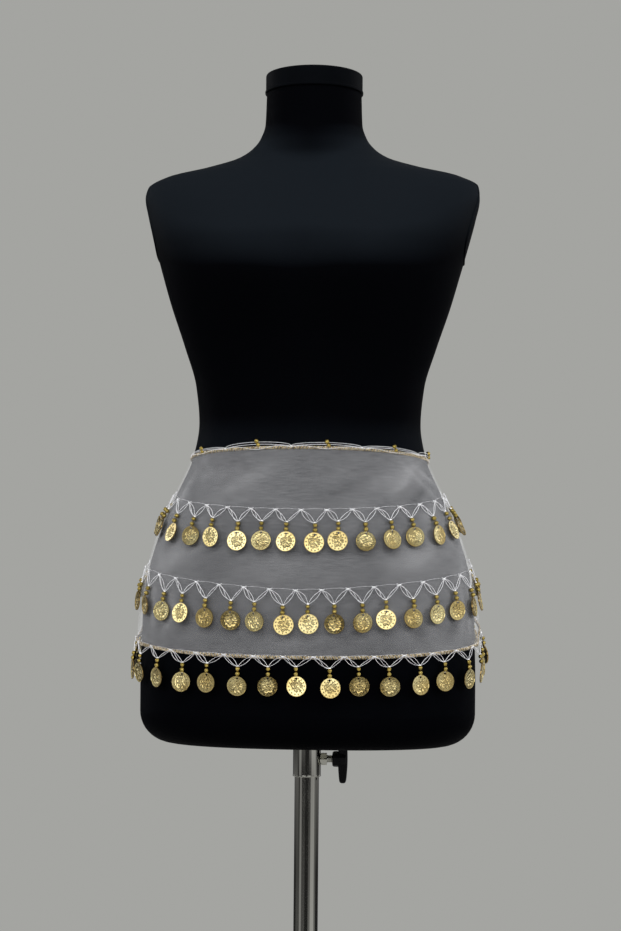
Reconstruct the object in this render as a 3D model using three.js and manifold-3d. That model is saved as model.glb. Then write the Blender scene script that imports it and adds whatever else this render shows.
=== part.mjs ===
// A belly dance belt tied round the hips of a limbless dress form, on a height-adjustable stand.
// Units are millimetres, +Z is up, the front faces -Y, and the origin is the centre of the base's underside.
// The belt is one strip of sheer cloth with three rows of coins, overlocked edges, and a knot at the back.
import * as THREE from "three";
import { mergeVertices } from "three/addons/utils/BufferGeometryUtils.js";
import Module from "manifold-3d";

const wasm = await Module();
wasm.setup();

// ---------------------------------------------------------------- driving dimensions

const FORM_BOTTOM = 780;
const NECK_TOP = 1452.5;
const BOTTOM_ROUNDING = 32;
const FORM_SIDES = 40;
const DEGREE = Math.PI / 180;

// Horizontal sections of the dress form, from its underside to the top of its neck. half_width is along X,
// front and back are the depths from the pole's axis, square is the section's superellipse exponent
// (2 is an ellipse), and shift moves the section backwards.
const FORM_SECTIONS = [
  { z: 780, half_width: 172.6, front: 104, back: 110, square: 2.4, shift: 0 },
  { z: 840, half_width: 172.6, front: 106, back: 114, square: 2.4, shift: 0 },
  { z: 885, half_width: 171.6, front: 108, back: 118, square: 2.35, shift: 0 },
  { z: 926, half_width: 170.0, front: 107, back: 119, square: 2.3, shift: 0 },
  { z: 960, half_width: 164.2, front: 105, back: 116, square: 2.25, shift: 0 },
  { z: 1000, half_width: 151.8, front: 100, back: 107, square: 2.2, shift: 0 },
  { z: 1037, half_width: 135.4, front: 94, back: 96, square: 2.2, shift: 0 },
  { z: 1072, half_width: 120.2, front: 88, back: 85, square: 2.2, shift: 0 },
  { z: 1108, half_width: 114.2, front: 84, back: 77, square: 2.2, shift: 0 },
  { z: 1145, half_width: 117.5, front: 86, back: 77, square: 2.25, shift: 0 },
  { z: 1186, half_width: 129.5, front: 93, back: 82, square: 2.35, shift: 1 },
  { z: 1228, half_width: 143.5, front: 104, back: 88, square: 2.5, shift: 3 },
  { z: 1259, half_width: 152.4, front: 110, back: 92, square: 2.65, shift: 5 },
  { z: 1290, half_width: 161.0, front: 106, back: 92, square: 2.75, shift: 8 },
  { z: 1321, half_width: 169.0, front: 93, back: 87, square: 2.8, shift: 12 },
  { z: 1342, half_width: 173.0, front: 80, back: 79, square: 2.7, shift: 15 },
  { z: 1354, half_width: 171.0, front: 72, back: 73, square: 2.5, shift: 17 },
  { z: 1364, half_width: 155.0, front: 65, back: 67, square: 2.3, shift: 18 },
  { z: 1373, half_width: 118.0, front: 60, back: 62, square: 2.1, shift: 19 },
  { z: 1384, half_width: 81.0, front: 56, back: 58, square: 2.0, shift: 20 },
  { z: 1394, half_width: 65.0, front: 54, back: 55, square: 2.0, shift: 20 },
  { z: 1405, half_width: 56.0, front: 52, back: 52, square: 2.0, shift: 20 },
  { z: 1421, half_width: 50.6, front: 50, back: 50, square: 2.0, shift: 20 },
  { z: 1452.5, half_width: 49.4, front: 49.4, back: 49.4, square: 2.0, shift: 20 },
];
// Heights of the form's rings: close together where the side view bends.
const FORM_RINGS = [
  812, 840, 870, 900, 925, 947, 968, 990, 1013, 1036, 1058, 1081, 1106, 1134, 1164, 1194, 1222, 1248, 1272,
  1298, 1322, 1342, 1354, 1362, 1368, 1374, 1382, 1392, 1406, 1452.5,
];
const BUST = { height: 12, z: 1262, x: 60, spread_x: 42, spread_z: 38 };

const NECK_CAP = { radius: 51.2, height: 22, rounding: 5, dome: 2 };
const SEAM_GAP = 0.3;

const POLE_RADIUS = 12.7;
const POLE_WALL = 1.5;
const POLE_TOP = 1080;
const BORE_RADIUS = 13.8;
const BORE_TOP = 1260;
const SLEEVE = { radius: 14.7, bore: 13.1, bottom: 745, flange_radius: 40, flange_thickness: 3 };
const RECESS = { radius: 62, depth: 14 };
const BASE = { radius: 160, thickness: 12, chamfer: 3, collar_radius: 21, collar_height: 34 };
const ROUND_SIDES = 32;

// The clamp's screw lies along X. x values are distances from the pole's axis.
const CLAMP_Z = 763;
const BOSS = { radius: 7, from: 14.2, to: 20.2 };
const SCREW = { radius: 4, clearance: 0.4, tip: 13.0, end: 34 };
const KNOB = {
  hub_radius: 8.2,
  hub_from: 26.4,
  bar_from: 31.8,
  bar_to: 42.3,
  bar_half: 25.2,
  bar_width: 11,
};

// The belt's cloth. Angles are degrees from the front, towards +X; across runs from the waist edge to the
// hem.
const CLOTH_GAP = 1.0;
const CLOTH_WALL = 1.2;
const CLOTH_OUTER = CLOTH_GAP + CLOTH_WALL;
const CLOTH_END = 170;
const CLOTH_COLUMNS = 72;
const CLOTH_ROWS = 8;
const WAIST_EDGE = { side: 1070, front_rise: 10, back_fall: 11 };
const HEM_EDGE = { side: 886.7, front_fall: 12 };
// The hem climbs a little just behind the hips, and steeply where the cloth narrows to the knot.
const HEM_LIFTS = [
  { rise: 36, from: 84, to: 116, power: 1.5 },
  { rise: 102, from: 126, to: 170, power: 2 },
];
const GATHERS = { waves: 2, depth: 4.5, from: 118 };
// Next to the knot the cloth leaves the form and runs up to the knot's middle.
const KNOT_LIFT = { height: 11.5, from: 152 };
const FLARE = { height: 4, angle: 114, spread: 17 };
// Soft upright folds near the hem. from is the place across where a fold starts to rise.
const FOLDS = [
  { angle: -84, spread: 4.2, from: 0.42, height: 2.2 },
  { angle: -70, spread: 3.6, from: 0.55, height: 2.4 },
  { angle: 66, spread: 3.8, from: 0.58, height: 2.0 },
  { angle: 80, spread: 4.0, from: 0.4, height: 2.2 },
  { angle: -103, spread: 4.6, from: 0.35, height: 3.2 },
  { angle: 101, spread: 4.4, from: 0.38, height: 3.2 },
];
const EDGE_CORD = { radius: 1.3, gap: 0.5, sides: 4 };

// Rows of coins. across places a row's stitching line at the front. From there the line rises by side_rise
// to the sides, the later the higher its power. clear is how far its threads stand off the cloth, spacing is
// between coins, phase is the middle coin's distance from the front, drop is how far the threads' V hangs,
// and end is the last coin's largest angle.
const COIN = { radius: 10, thickness: 1.2, standoff: 4.2, yaw: 9, corner_angle: 22.5, collar: 0.8 };
const BEADS = { half_width: 1.8, length: 9.4, overlap: 0.6 };
const THREAD_RADIUS = 0.8;
const UNEVEN = { along: 1.4, drop: 0.9 };
const ROW_REACH = 560;
const COIN_ROWS = [
  { across: 0.298, side_rise: 20.5, power: 1, clear: 2, spacing: 25.2, phase: 12.3, drop: 12.6, end: 140 },
  { across: 0.683, side_rise: 16.7, power: 0.6, clear: 2.5, spacing: 25.8, phase: 8.6, drop: 14.4, end: 130 },
  { across: 0.985, side_rise: 0, power: 1, clear: 2.9, spacing: 29.8, phase: -1, drop: 13.2, end: 146 },
];
const ROW_NAMES = ["coin_row_upper", "coin_row_middle", "coin_row_hem"];
// The waist edge's thread chain: knots sewn to the edge, with a bead halfway between each two. Its strand
// is laid in a number of steps to each knot spacing.
const CHAIN = {
  spacing: 71,
  phase: -11.5,
  rise: 3.8,
  bulge: 0.6,
  bead_radius: 2.6,
  steps: 4,
  reach: 4,
  end: 140,
};

// The knot at the back and the two hanging ends.
const KNOT = { z: 1042, radius: 19, depth_share: 0.66, clear: 1.7, sides: 14 };
// The knot's half outline: shares of its half length, and of its radius there.
const KNOT_OUTLINE = [
  { along: 1, radius: 0.84 },
  { along: 0.68, radius: 0.8 },
  { along: 0.38, radius: 0.72 },
  { along: 0.24, radius: 1 },
];
// Places across at which the cloth's ends are measured for the knot's length.
const END_SPOTS = [0, 0.3, 0.5, 0.7, 1];
const TAIL = { length: 150, top_width: 20, bottom_width: 54, wall: 1.4, top_centre: 11.5, splay: 34 };
const TAIL_LAY = { clear: 6.6, ripple: 2.4, waves: 1.5, slant: 0.12, columns: 10, rows: 6, under_knot: 0.5 };
// A hanging end's centre and width change with these powers of the fall, and its ripples are at their full
// depth from the fall where start + pace * fall is 1.
const TAIL_SPREAD = { centre_power: 0.8, width_power: 0.7, start: 0.2, pace: 2 };

// ---------------------------------------------------------------- helpers

const lerp = (from, to, share) => from + (to - from) * share;
const clamp = (value, low, high) => Math.min(high, Math.max(low, value));
const share01 = (value, from, to) => clamp((value - from) / (to - from), 0, 1);
const smooth = (share) => share * share * (3 - 2 * share);
const bell = (value, spread) => Math.exp((-value * value) / (2 * spread * spread));
// A repeatable unevenness from -1 to 1 for the i-th piece of a row.
const wobble = (i, seed) => Math.sin(i * 2.39996 + seed * 1.7);

// A curve through the table's column over z that never overshoots its rows (monotone cubic).
function profile(column) {
  const x = FORM_SECTIONS.map((row) => row.z);
  const y = FORM_SECTIONS.map((row) => row[column]);
  const slope = x.slice(1).map((value, i) => (y[i + 1] - y[i]) / (value - x[i]));
  const tangent = x.map((_, i) => {
    if (i === 0) return slope[0];
    if (i === x.length - 1) return slope[i - 1];
    return slope[i - 1] * slope[i] <= 0 ? 0 : (2 * slope[i - 1] * slope[i]) / (slope[i - 1] + slope[i]);
  });
  return (z) => {
    const at = clamp(z, x[0], x[x.length - 1]);
    const i = Math.max(0, Math.min(x.length - 2, x.findIndex((value) => value > at) - 1));
    const k = at >= x[x.length - 1] ? x.length - 2 : i;
    const width = x[k + 1] - x[k];
    const t = (at - x[k]) / width;
    return (
      y[k] * (1 + 2 * t) * (1 - t) * (1 - t) +
      tangent[k] * width * t * (1 - t) * (1 - t) +
      y[k + 1] * t * t * (3 - 2 * t) +
      tangent[k + 1] * width * t * t * (t - 1)
    );
  };
}
const halfWidthAt = profile("half_width");
const frontAt = profile("front");
const backAt = profile("back");
const squareAt = profile("square");
const shiftAt = profile("shift");

// A point of the form's skin. inset pulls the whole section in, as at the underside's rounded edge.
function formPoint(angle, z, inset = 0) {
  const sine = Math.sin(angle * DEGREE);
  const cosine = Math.cos(angle * DEGREE);
  const power = 2 / squareAt(z);
  const x = (halfWidthAt(z) - inset) * Math.sign(sine) * Math.abs(sine) ** power;
  const depth = (cosine > 0 ? frontAt(z) : backAt(z)) - inset;
  const nearBust = bell(Math.abs(x) - BUST.x, BUST.spread_x) * bell(z - BUST.z, BUST.spread_z);
  const swell = BUST.height * nearBust * Math.max(0, cosine);
  const y = shiftAt(z) - depth * Math.sign(cosine) * Math.abs(cosine) ** power - swell;
  return new THREE.Vector3(x, y, z);
}

// The level outward direction of the form's skin.
function formNormal(angle, z) {
  const along = formPoint(angle + 0.4, z).sub(formPoint(angle - 0.4, z));
  return new THREE.Vector3(along.y, -along.x, 0).normalize();
}

const offForm = (angle, z, distance) => formPoint(angle, z).addScaledVector(formNormal(angle, z), distance);

// A closed solid from rings of points, each ring running the same way round, the ends closed by fans.
function loft(rings) {
  const positions = [];
  const faces = [];
  const count = rings[0].length;
  rings.flat().forEach((point) => positions.push(point.x, point.y, point.z));
  for (let r = 0; r + 1 < rings.length; r++)
    for (let i = 0; i < count; i++) {
      const a = r * count + i;
      const b = r * count + ((i + 1) % count);
      faces.push(a, b, b + count, a, b + count, a + count);
    }
  [0, rings.length - 1].forEach((r) => {
    const centre = rings[r].reduce((sum, p) => sum.add(p), new THREE.Vector3()).divideScalar(count);
    const middle = positions.length / 3;
    positions.push(centre.x, centre.y, centre.z);
    for (let i = 0; i < count; i++) {
      const a = r * count + i;
      const b = r * count + ((i + 1) % count);
      faces.push(...(r === 0 ? [b, a, middle] : [a, b, middle]));
    }
  });
  return geometryOf(positions, faces);
}

function geometryOf(positions, faces) {
  const geometry = new THREE.BufferGeometry();
  geometry.setAttribute("position", new THREE.Float32BufferAttribute(positions, 3));
  geometry.setIndex(faces);
  return geometry;
}

// A wall from a grid of points on its outer face and a matching grid on its inner face.
function wall(columns, rows, outerPoint, innerPoint) {
  const rings = [];
  for (let c = 0; c <= columns; c++) {
    const ring = [];
    for (let r = 0; r <= rows; r++) ring.push(outerPoint(c / columns, r / rows));
    for (let r = rows; r >= 0; r--) ring.push(innerPoint(c / columns, r / rows));
    rings.push(ring);
  }
  return ribbonLoft(rings, rows + 1);
}

// Like loft, but each end is closed between its outer and inner half, so a thin end stays flat.
function ribbonLoft(rings, half) {
  const positions = [];
  const faces = [];
  const count = rings[0].length;
  rings.flat().forEach((point) => positions.push(point.x, point.y, point.z));
  for (let c = 0; c + 1 < rings.length; c++)
    for (let i = 0; i < count; i++) {
      const a = c * count + i;
      const b = c * count + ((i + 1) % count);
      faces.push(a, b, b + count, a, b + count, a + count);
    }
  [0, (rings.length - 1) * count].forEach((start, end) => {
    for (let i = 0; i + 1 < half; i++) {
      const a = start + i;
      const b = start + i + 1;
      const c = start + count - 1 - i;
      const d = start + count - 2 - i;
      faces.push(...(end ? [a, b, d, a, d, c] : [b, a, c, b, c, d]));
    }
  });
  return geometryOf(positions, faces);
}

// A closed prism of a few sides that follows points, kept upright by the given side direction.
function strand(points, radius, sides, sideways) {
  const rings = points.map((point, i) => {
    const before = points[Math.max(0, i - 1)];
    const after = points[Math.min(points.length - 1, i + 1)];
    const forward = after.clone().sub(before).normalize();
    const right = sideways(i).clone();
    right.addScaledVector(forward, -right.dot(forward)).normalize();
    const up = forward.clone().cross(right);
    return Array.from({ length: sides }, (_, k) => {
      const turn = (2 * Math.PI * (k + 0.5)) / sides;
      return point
        .clone()
        .addScaledVector(right, radius * Math.cos(turn))
        .addScaledVector(up, radius * Math.sin(turn));
    });
  });
  return loft(rings);
}

function solid(geometry) {
  const bare = geometry.clone();
  bare.deleteAttribute("normal");
  bare.deleteAttribute("uv");
  const merged = mergeVertices(bare, 1e-4);
  return new wasm.Manifold(
    new wasm.Mesh({
      numProp: 3,
      vertProperties: new Float32Array(merged.attributes.position.array),
      triVerts: new Uint32Array(merged.index.array),
    }),
  );
}

function geometryFrom(manifold) {
  const mesh = manifold.getMesh();
  return geometryOf(Array.from(mesh.vertProperties), Array.from(mesh.triVerts));
}

// Joins closed geometries into one.
const fuse = (geometries) => geometryFrom(geometries.map(solid).reduce((sum, next) => sum.add(next)));

// A turned solid about +Z from [radius, height] pairs.
const turned = (pairs, sides = ROUND_SIDES) =>
  new THREE.LatheGeometry(
    pairs.map(([radius, height]) => new THREE.Vector2(radius, height)),
    sides,
  ).rotateX(Math.PI / 2);

// A cylinder along X between two x values, at the clamp's height.
const clampCylinder = (radius, from, to, sides = 16) =>
  new THREE.CylinderGeometry(radius, radius, to - from, sides)
    .rotateZ(-Math.PI / 2)
    .translate((from + to) / 2, 0, CLAMP_Z);

// ---------------------------------------------------------------- dress form and stand

function torso() {
  const ring = (z, inset = 0) =>
    Array.from({ length: FORM_SIDES }, (_, i) => formPoint((360 * i) / FORM_SIDES, z, inset));
  const rounding = [90, 68, 45, 22].map((turn) =>
    ring(
      FORM_BOTTOM + BOTTOM_ROUNDING * (1 - Math.sin(turn * DEGREE)),
      BOTTOM_ROUNDING * (1 - Math.cos(turn * DEGREE)),
    ),
  );
  const body = solid(loft([...rounding, ...FORM_RINGS.map((z) => ring(z))]));
  const hollow = turned([
    [0, FORM_BOTTOM - 5],
    [RECESS.radius, FORM_BOTTOM - 5],
    [RECESS.radius, FORM_BOTTOM + RECESS.depth],
    [BORE_RADIUS, FORM_BOTTOM + RECESS.depth],
    [BORE_RADIUS, BORE_TOP],
    [0, BORE_TOP],
  ]);
  return geometryFrom(body.subtract(solid(hollow)));
}

function neckCap() {
  const { radius, height, rounding, dome } = NECK_CAP;
  const foot = NECK_TOP + SEAM_GAP;
  return turned([
    [0, foot],
    [radius, foot],
    [radius, foot + height - rounding - dome],
    [radius - rounding * 0.3, foot + height - rounding * 0.3 - dome],
    [radius - rounding, foot + height - dome],
    [0, foot + height],
  ]).translate(0, shiftAt(NECK_TOP), 0);
}

function socketSleeve() {
  const top = FORM_BOTTOM + RECESS.depth - SEAM_GAP;
  const tube = turned([
    [SLEEVE.bore, SLEEVE.bottom],
    [SLEEVE.radius, SLEEVE.bottom],
    [SLEEVE.radius, top - SLEEVE.flange_thickness],
    [SLEEVE.flange_radius, top - SLEEVE.flange_thickness],
    [SLEEVE.flange_radius, top],
    [SLEEVE.bore, top],
    [SLEEVE.bore, SLEEVE.bottom],
  ]);
  const hole = clampCylinder(SCREW.radius + SCREW.clearance, 5, SLEEVE.radius + 5);
  return geometryFrom(solid(tube).subtract(solid(hole)));
}

function clampBoss() {
  const block = clampCylinder(BOSS.radius, BOSS.from - 3, BOSS.to, 6);
  const hole = clampCylinder(SCREW.radius + SCREW.clearance, 5, BOSS.to + 5);
  const sleeveRoom = turned([
    [0, CLAMP_Z - 20],
    [SLEEVE.radius + SEAM_GAP, CLAMP_Z - 20],
    [SLEEVE.radius + SEAM_GAP, CLAMP_Z + 20],
    [0, CLAMP_Z + 20],
  ]);
  return geometryFrom(solid(block).subtract(solid(hole)).subtract(solid(sleeveRoom)));
}

const clampScrew = () => clampCylinder(SCREW.radius, SCREW.tip, SCREW.end);

function wingKnob() {
  const hub = clampCylinder(KNOB.hub_radius, KNOB.hub_from, KNOB.bar_to - 2);
  const half = KNOB.bar_half;
  const outline = new THREE.Shape()
    .moveTo(-KNOB.bar_width * 0.36, -half)
    .lineTo(KNOB.bar_width * 0.36, -half)
    .lineTo(KNOB.bar_width * 0.5, 0)
    .lineTo(KNOB.bar_width * 0.36, half)
    .lineTo(-KNOB.bar_width * 0.36, half)
    .lineTo(-KNOB.bar_width * 0.5, 0);
  const bar = new THREE.ExtrudeGeometry(outline, { depth: KNOB.bar_to - KNOB.bar_from, bevelEnabled: false })
    .rotateX(Math.PI / 2)
    .rotateZ(Math.PI / 2)
    .translate(KNOB.bar_from, 0, CLAMP_Z);
  const socket = clampCylinder(SCREW.radius + SEAM_GAP, KNOB.hub_from - 5, SCREW.end + SEAM_GAP);
  return geometryFrom(solid(hub).add(solid(bar)).subtract(solid(socket)));
}

const pole = () =>
  turned([
    [POLE_RADIUS - POLE_WALL, BASE.thickness + SEAM_GAP],
    [POLE_RADIUS, BASE.thickness + SEAM_GAP],
    [POLE_RADIUS, POLE_TOP],
    [POLE_RADIUS - POLE_WALL, POLE_TOP],
    [POLE_RADIUS - POLE_WALL, BASE.thickness + SEAM_GAP],
  ]);

const basePlate = () =>
  turned(
    [
      [0, 0],
      [BASE.radius, 0],
      [BASE.radius, BASE.thickness - BASE.chamfer],
      [BASE.radius - BASE.chamfer, BASE.thickness],
      [0, BASE.thickness],
    ],
    40,
  );

function baseCollar() {
  const foot = BASE.thickness + SEAM_GAP;
  const bore = POLE_RADIUS + SEAM_GAP;
  return turned([
    [bore, foot],
    [BASE.collar_radius, foot],
    [BASE.collar_radius, foot + BASE.collar_height * 0.3],
    [bore + 3, foot + BASE.collar_height],
    [bore, foot + BASE.collar_height],
    [bore, foot],
  ]);
}

// ---------------------------------------------------------------- belt cloth

function waistEdge(angle) {
  const cosine = Math.cos(angle * DEGREE);
  return WAIST_EDGE.side + cosine * (cosine > 0 ? WAIST_EDGE.front_rise : WAIST_EDGE.back_fall);
}

function hemEdge(angle) {
  const turn = Math.abs(angle);
  const front = HEM_EDGE.front_fall * Math.max(0, Math.cos(turn * DEGREE));
  return HEM_LIFTS.reduce(
    (height, { rise, from, to, power }) => height + rise * share01(turn, from, to) ** power,
    HEM_EDGE.side - front,
  );
}

// How far the cloth lifts off the form in the gathers that run to the knot; crest takes their tops only.
function gatherLift(angle, across, crest = false) {
  const wave = crest ? 1 : 0.5 - 0.5 * Math.cos(2 * Math.PI * GATHERS.waves * across);
  return GATHERS.depth * smooth(share01(Math.abs(angle), GATHERS.from, CLOTH_END)) * wave;
}

function clothLift(angle, across, crest = false) {
  const level = clamp(across, 0, 1);
  const flare = FLARE.height * bell(Math.abs(angle) - FLARE.angle, FLARE.spread) * level * level;
  const folds = FOLDS.reduce(
    (sum, fold) =>
      sum + fold.height * smooth(share01(level, fold.from, 1)) * bell(angle - fold.angle, fold.spread),
    0,
  );
  const toKnot = KNOT_LIFT.height * smooth(share01(Math.abs(angle), KNOT_LIFT.from, CLOTH_END));
  return flare + folds + gatherLift(angle, level, crest) + toKnot;
}

const clothHeight = (angle, across) => lerp(waistEdge(angle), hemEdge(angle), across);

const clothPoint = (angle, across, distance) =>
  offForm(angle, clothHeight(angle, across), distance + clothLift(angle, across));

function beltCloth() {
  const angleOf = (share) => lerp(-CLOTH_END, CLOTH_END, share);
  return wall(
    CLOTH_COLUMNS,
    CLOTH_ROWS,
    (share, across) => clothPoint(angleOf(share), across, CLOTH_OUTER),
    (share, across) => clothPoint(angleOf(share), across, CLOTH_GAP),
  );
}

// The overlocked edge: a thick cord of thread just past the cloth's edge, in the cloth's own surface.
function edgeCord(across, side) {
  const angles = Array.from({ length: CLOTH_COLUMNS + 1 }, (_, i) =>
    lerp(-CLOTH_END, CLOTH_END, i / CLOTH_COLUMNS),
  );
  const edge = angles.map((angle) => clothPoint(angle, across, CLOTH_GAP + CLOTH_WALL / 2));
  const outward = angles.map((angle, i) => formNormal(angle, edge[i].z));
  const points = edge.map((point, i) => {
    const along = edge[Math.min(edge.length - 1, i + 1)].clone().sub(edge[Math.max(0, i - 1)]);
    const past = along.cross(outward[i]).normalize();
    return point.clone().addScaledVector(past, -side * (EDGE_CORD.radius + EDGE_CORD.gap));
  });
  return strand(points, EDGE_CORD.radius, EDGE_CORD.sides, (i) => outward[i]);
}

// ---------------------------------------------------------------- rows of coins

// A function from the distance along a line round the belt, measured from the front, to the angle there.
function angleAlong(across) {
  const step = 0.5;
  const angles = [];
  const lengths = [];
  let previous = null;
  for (let angle = -CLOTH_END; angle <= CLOTH_END; angle += step) {
    const point = clothPoint(angle, across, CLOTH_OUTER);
    lengths.push(previous ? lengths[lengths.length - 1] + point.distanceTo(previous) : 0);
    angles.push(angle);
    previous = point;
  }
  const front = lengths[angles.indexOf(0)];
  return (distance) => {
    const target = clamp(distance + front, 0, lengths[lengths.length - 1] - 1e-6);
    const i = lengths.findIndex((length) => length > target) - 1;
    return lerp(angles[i], angles[i + 1], (target - lengths[i]) / (lengths[i + 1] - lengths[i]));
  };
}

// The spot straight below a point of a row, at height z, that stands a distance off the cloth.
function hangingPoint(angle, from, z, distance) {
  const origin = offForm(angle, from, 0);
  const normal = formNormal(angle, from);
  const sideways = new THREE.Vector3(-normal.y, normal.x, 0);
  const across = (height) => (waistEdge(angle) - height) / (waistEdge(angle) - hemEdge(angle));
  let below = angle;
  for (let i = 0; i < 6; i++) {
    const miss = sideways.dot(offForm(below, z, 0).sub(origin));
    const rate = sideways.dot(offForm(below + 1, z, 0).sub(offForm(below, z, 0)));
    below -= miss / rate;
  }
  const out = normal.dot(offForm(below, z, 0).sub(origin));
  const lift = Math.max(clothLift(angle, across(from), true), clothLift(angle, across(z), true));
  const point = origin.clone().addScaledVector(normal, out + CLOTH_OUTER + lift + distance);
  point.z = z;
  return point;
}

function coinRow({ across, side_rise, power, clear, spacing, phase, drop, end }, seed) {
  const angleAt = angleAlong(across);
  const rowHeight = (angle) =>
    clothHeight(angle, across) + side_rise * (1 - Math.max(0, Math.cos(angle * DEGREE))) ** power;
  const threadPoint = (angle, fall) => {
    const height = rowHeight(angle);
    return hangingPoint(angle, height, height - fall, clear);
  };
  const anchorAngle = (i) => angleAt(phase + (i - 0.5) * spacing);
  const last = Math.ceil(ROW_REACH / spacing);
  const coins = Array.from({ length: 2 * last + 1 }, (_, k) => k - last)
    .map((i) => ({ i, angle: angleAt(phase + i * spacing + UNEVEN.along * wobble(i, seed)) }))
    .filter(({ angle }) => Math.abs(angle) <= end);
  const zigzagAngles = [anchorAngle(coins[0].i)];
  const zigzag = [threadPoint(zigzagAngles[0], 0)];
  const pendants = coins.map(({ i, angle }) => {
    const fall = drop + UNEVEN.drop * wobble(i, seed + 4);
    const next = anchorAngle(i + 1);
    zigzag.push(threadPoint(angle, fall), threadPoint(next, 0));
    zigzagAngles.push(angle, next);
    return pendant(angle, rowHeight(angle), fall, clear, COIN.yaw * wobble(i, seed + 9));
  });
  const outward = (k) => formNormal(zigzagAngles[k], rowHeight(zigzagAngles[k]));
  return fuse([strand(zigzag, THREAD_RADIUS, 3, outward), ...pendants]);
}

// One coin and the bead stem it hangs from, as a single solid: level rectangles from the top bead down to
// the coin's lowest edge, whose widths give the coin its eight sides. yaw turns the coin about its hanging
// line.
function pendant(angle, height, fall, clear, yaw) {
  const beadTop = height - fall + BEADS.overlap;
  const coinTop = beadTop - BEADS.length;
  const stemTop = hangingPoint(angle, height, beadTop, clear);
  const coinHigh = hangingPoint(angle, height, coinTop, COIN.standoff);
  const coinLow = hangingPoint(angle, height, coinTop - 2 * COIN.radius, COIN.standoff);
  const down = coinLow.clone().sub(coinHigh).normalize();
  const normal = formNormal(angle, height);
  const straight = new THREE.Vector3(-normal.y, normal.x, 0);
  const twisted = straight.clone().applyAxisAngle(down, yaw * DEGREE);
  const corner = COIN.radius * Math.tan(COIN.corner_angle * DEGREE);
  const beadRing = (at) => rectangle(at, straight, down, BEADS.half_width, BEADS.half_width);
  const coinRing = (fallen, halfWidth) =>
    rectangle(coinHigh.clone().addScaledVector(down, fallen), twisted, down, halfWidth, COIN.thickness / 2);
  return loft([
    coinRing(2 * COIN.radius, corner),
    coinRing(COIN.radius + corner, COIN.radius),
    coinRing(COIN.radius - corner, COIN.radius),
    coinRing(COIN.collar, corner),
    beadRing(coinHigh),
    beadRing(stemTop),
  ]);
}

// Four points round a place, level along one side and square to the falling line.
function rectangle(at, level, down, halfWidth, halfDepth) {
  const face = level.clone().cross(down).normalize();
  const corners = [
    [-1, -1],
    [1, -1],
    [1, 1],
    [-1, 1],
  ];
  return corners.map(([u, v]) =>
    at
      .clone()
      .addScaledVector(level, u * halfWidth)
      .addScaledVector(face, v * halfDepth),
  );
}

// ---------------------------------------------------------------- waist chain, knot and ends

function waistChain() {
  const angleAt = angleAlong(0);
  const cordTop = 2 * EDGE_CORD.radius + EDGE_CORD.gap;
  // A spot of the chain, counted in knot spacings from the knot nearest the front.
  const spot = (count) => {
    const angle = angleAt(CHAIN.phase + count * CHAIN.spacing);
    const rise = CHAIN.rise * Math.abs(Math.sin(Math.PI * count)) ** CHAIN.bulge;
    const point = offForm(angle, waistEdge(angle), CLOTH_GAP + CLOTH_WALL / 2 + clothLift(angle, 0));
    point.z = waistEdge(angle) + cordTop + SEAM_GAP + THREAD_RADIUS + rise;
    return { point, angle };
  };
  const inReach = ({ angle }) => Math.abs(angle) < CHAIN.end;
  const reach = CHAIN.reach * CHAIN.steps;
  const spots = Array.from({ length: 2 * reach + 1 }, (_, k) => spot((k - reach) / CHAIN.steps))
    .filter(inReach);
  const beads = Array.from({ length: 2 * CHAIN.reach }, (_, k) => spot(k - CHAIN.reach + 0.5))
    .filter(inReach)
    .map(({ point: { x, y, z } }) => new THREE.OctahedronGeometry(CHAIN.bead_radius).translate(x, y, z));
  const outward = (k) => formNormal(spots[k].angle, spots[k].point.z);
  const threads = strand(
    spots.map(({ point }) => point),
    THREAD_RADIUS,
    3,
    outward,
  );
  return fuse([threads, ...beads]);
}

// The knot lies level across the back: two shoulders of cloth with a wrap round their middle. It ends just
// short of the cloth's own ends.
function knot() {
  const clothEnds = END_SPOTS.flatMap((across) =>
    [CLOTH_GAP, CLOTH_OUTER].map((distance) => clothPoint(CLOTH_END, across, distance).x),
  );
  const reach = Math.min(...clothEnds) - SEAM_GAP;
  const half = KNOT_OUTLINE.map(({ along, radius }) => [radius * KNOT.radius, along * reach]);
  const outline = [
    [0, -reach],
    ...half.map(([radius, along]) => [radius, -along]),
    ...half.toReversed(),
    [0, reach],
  ];
  const depth = KNOT.radius * KNOT.depth_share;
  return turned(outline, KNOT.sides)
    .rotateY(Math.PI / 2)
    .scale(1, KNOT.depth_share, 1)
    .translate(0, backAt(KNOT.z) + depth + KNOT.clear, KNOT.z);
}

// A hanging end: a rippled ribbon that widens as it falls down the back.
function tail(side) {
  const top = KNOT.z - KNOT.radius - TAIL_LAY.under_knot;
  const place = (fall, share, extra) => {
    const z = top - fall * TAIL.length * (1 - TAIL_LAY.slant * share);
    const centre = side * lerp(TAIL.top_centre, TAIL.splay, fall ** TAIL_SPREAD.centre_power);
    const width = lerp(TAIL.top_width, TAIL.bottom_width, fall ** TAIL_SPREAD.width_power);
    const x = centre + side * (share - 0.5) * width;
    const flat = Math.sqrt(Math.max(0, 1 - (x / halfWidthAt(z)) ** 2));
    const grown = smooth(Math.min(1, TAIL_SPREAD.start + TAIL_SPREAD.pace * fall));
    const wave = grown * Math.cos(2 * Math.PI * TAIL_LAY.waves * share);
    return new THREE.Vector3(x, backAt(z) * flat + TAIL_LAY.clear + TAIL_LAY.ripple * wave + extra, z);
  };
  const across = (share) => (side > 0 ? share : 1 - share);
  return wall(
    TAIL_LAY.columns,
    TAIL_LAY.rows,
    (fall, share) => place(fall, across(share), TAIL.wall),
    (fall, share) => place(fall, across(share), 0),
  );
}

// ---------------------------------------------------------------- materials and scene graph

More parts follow.
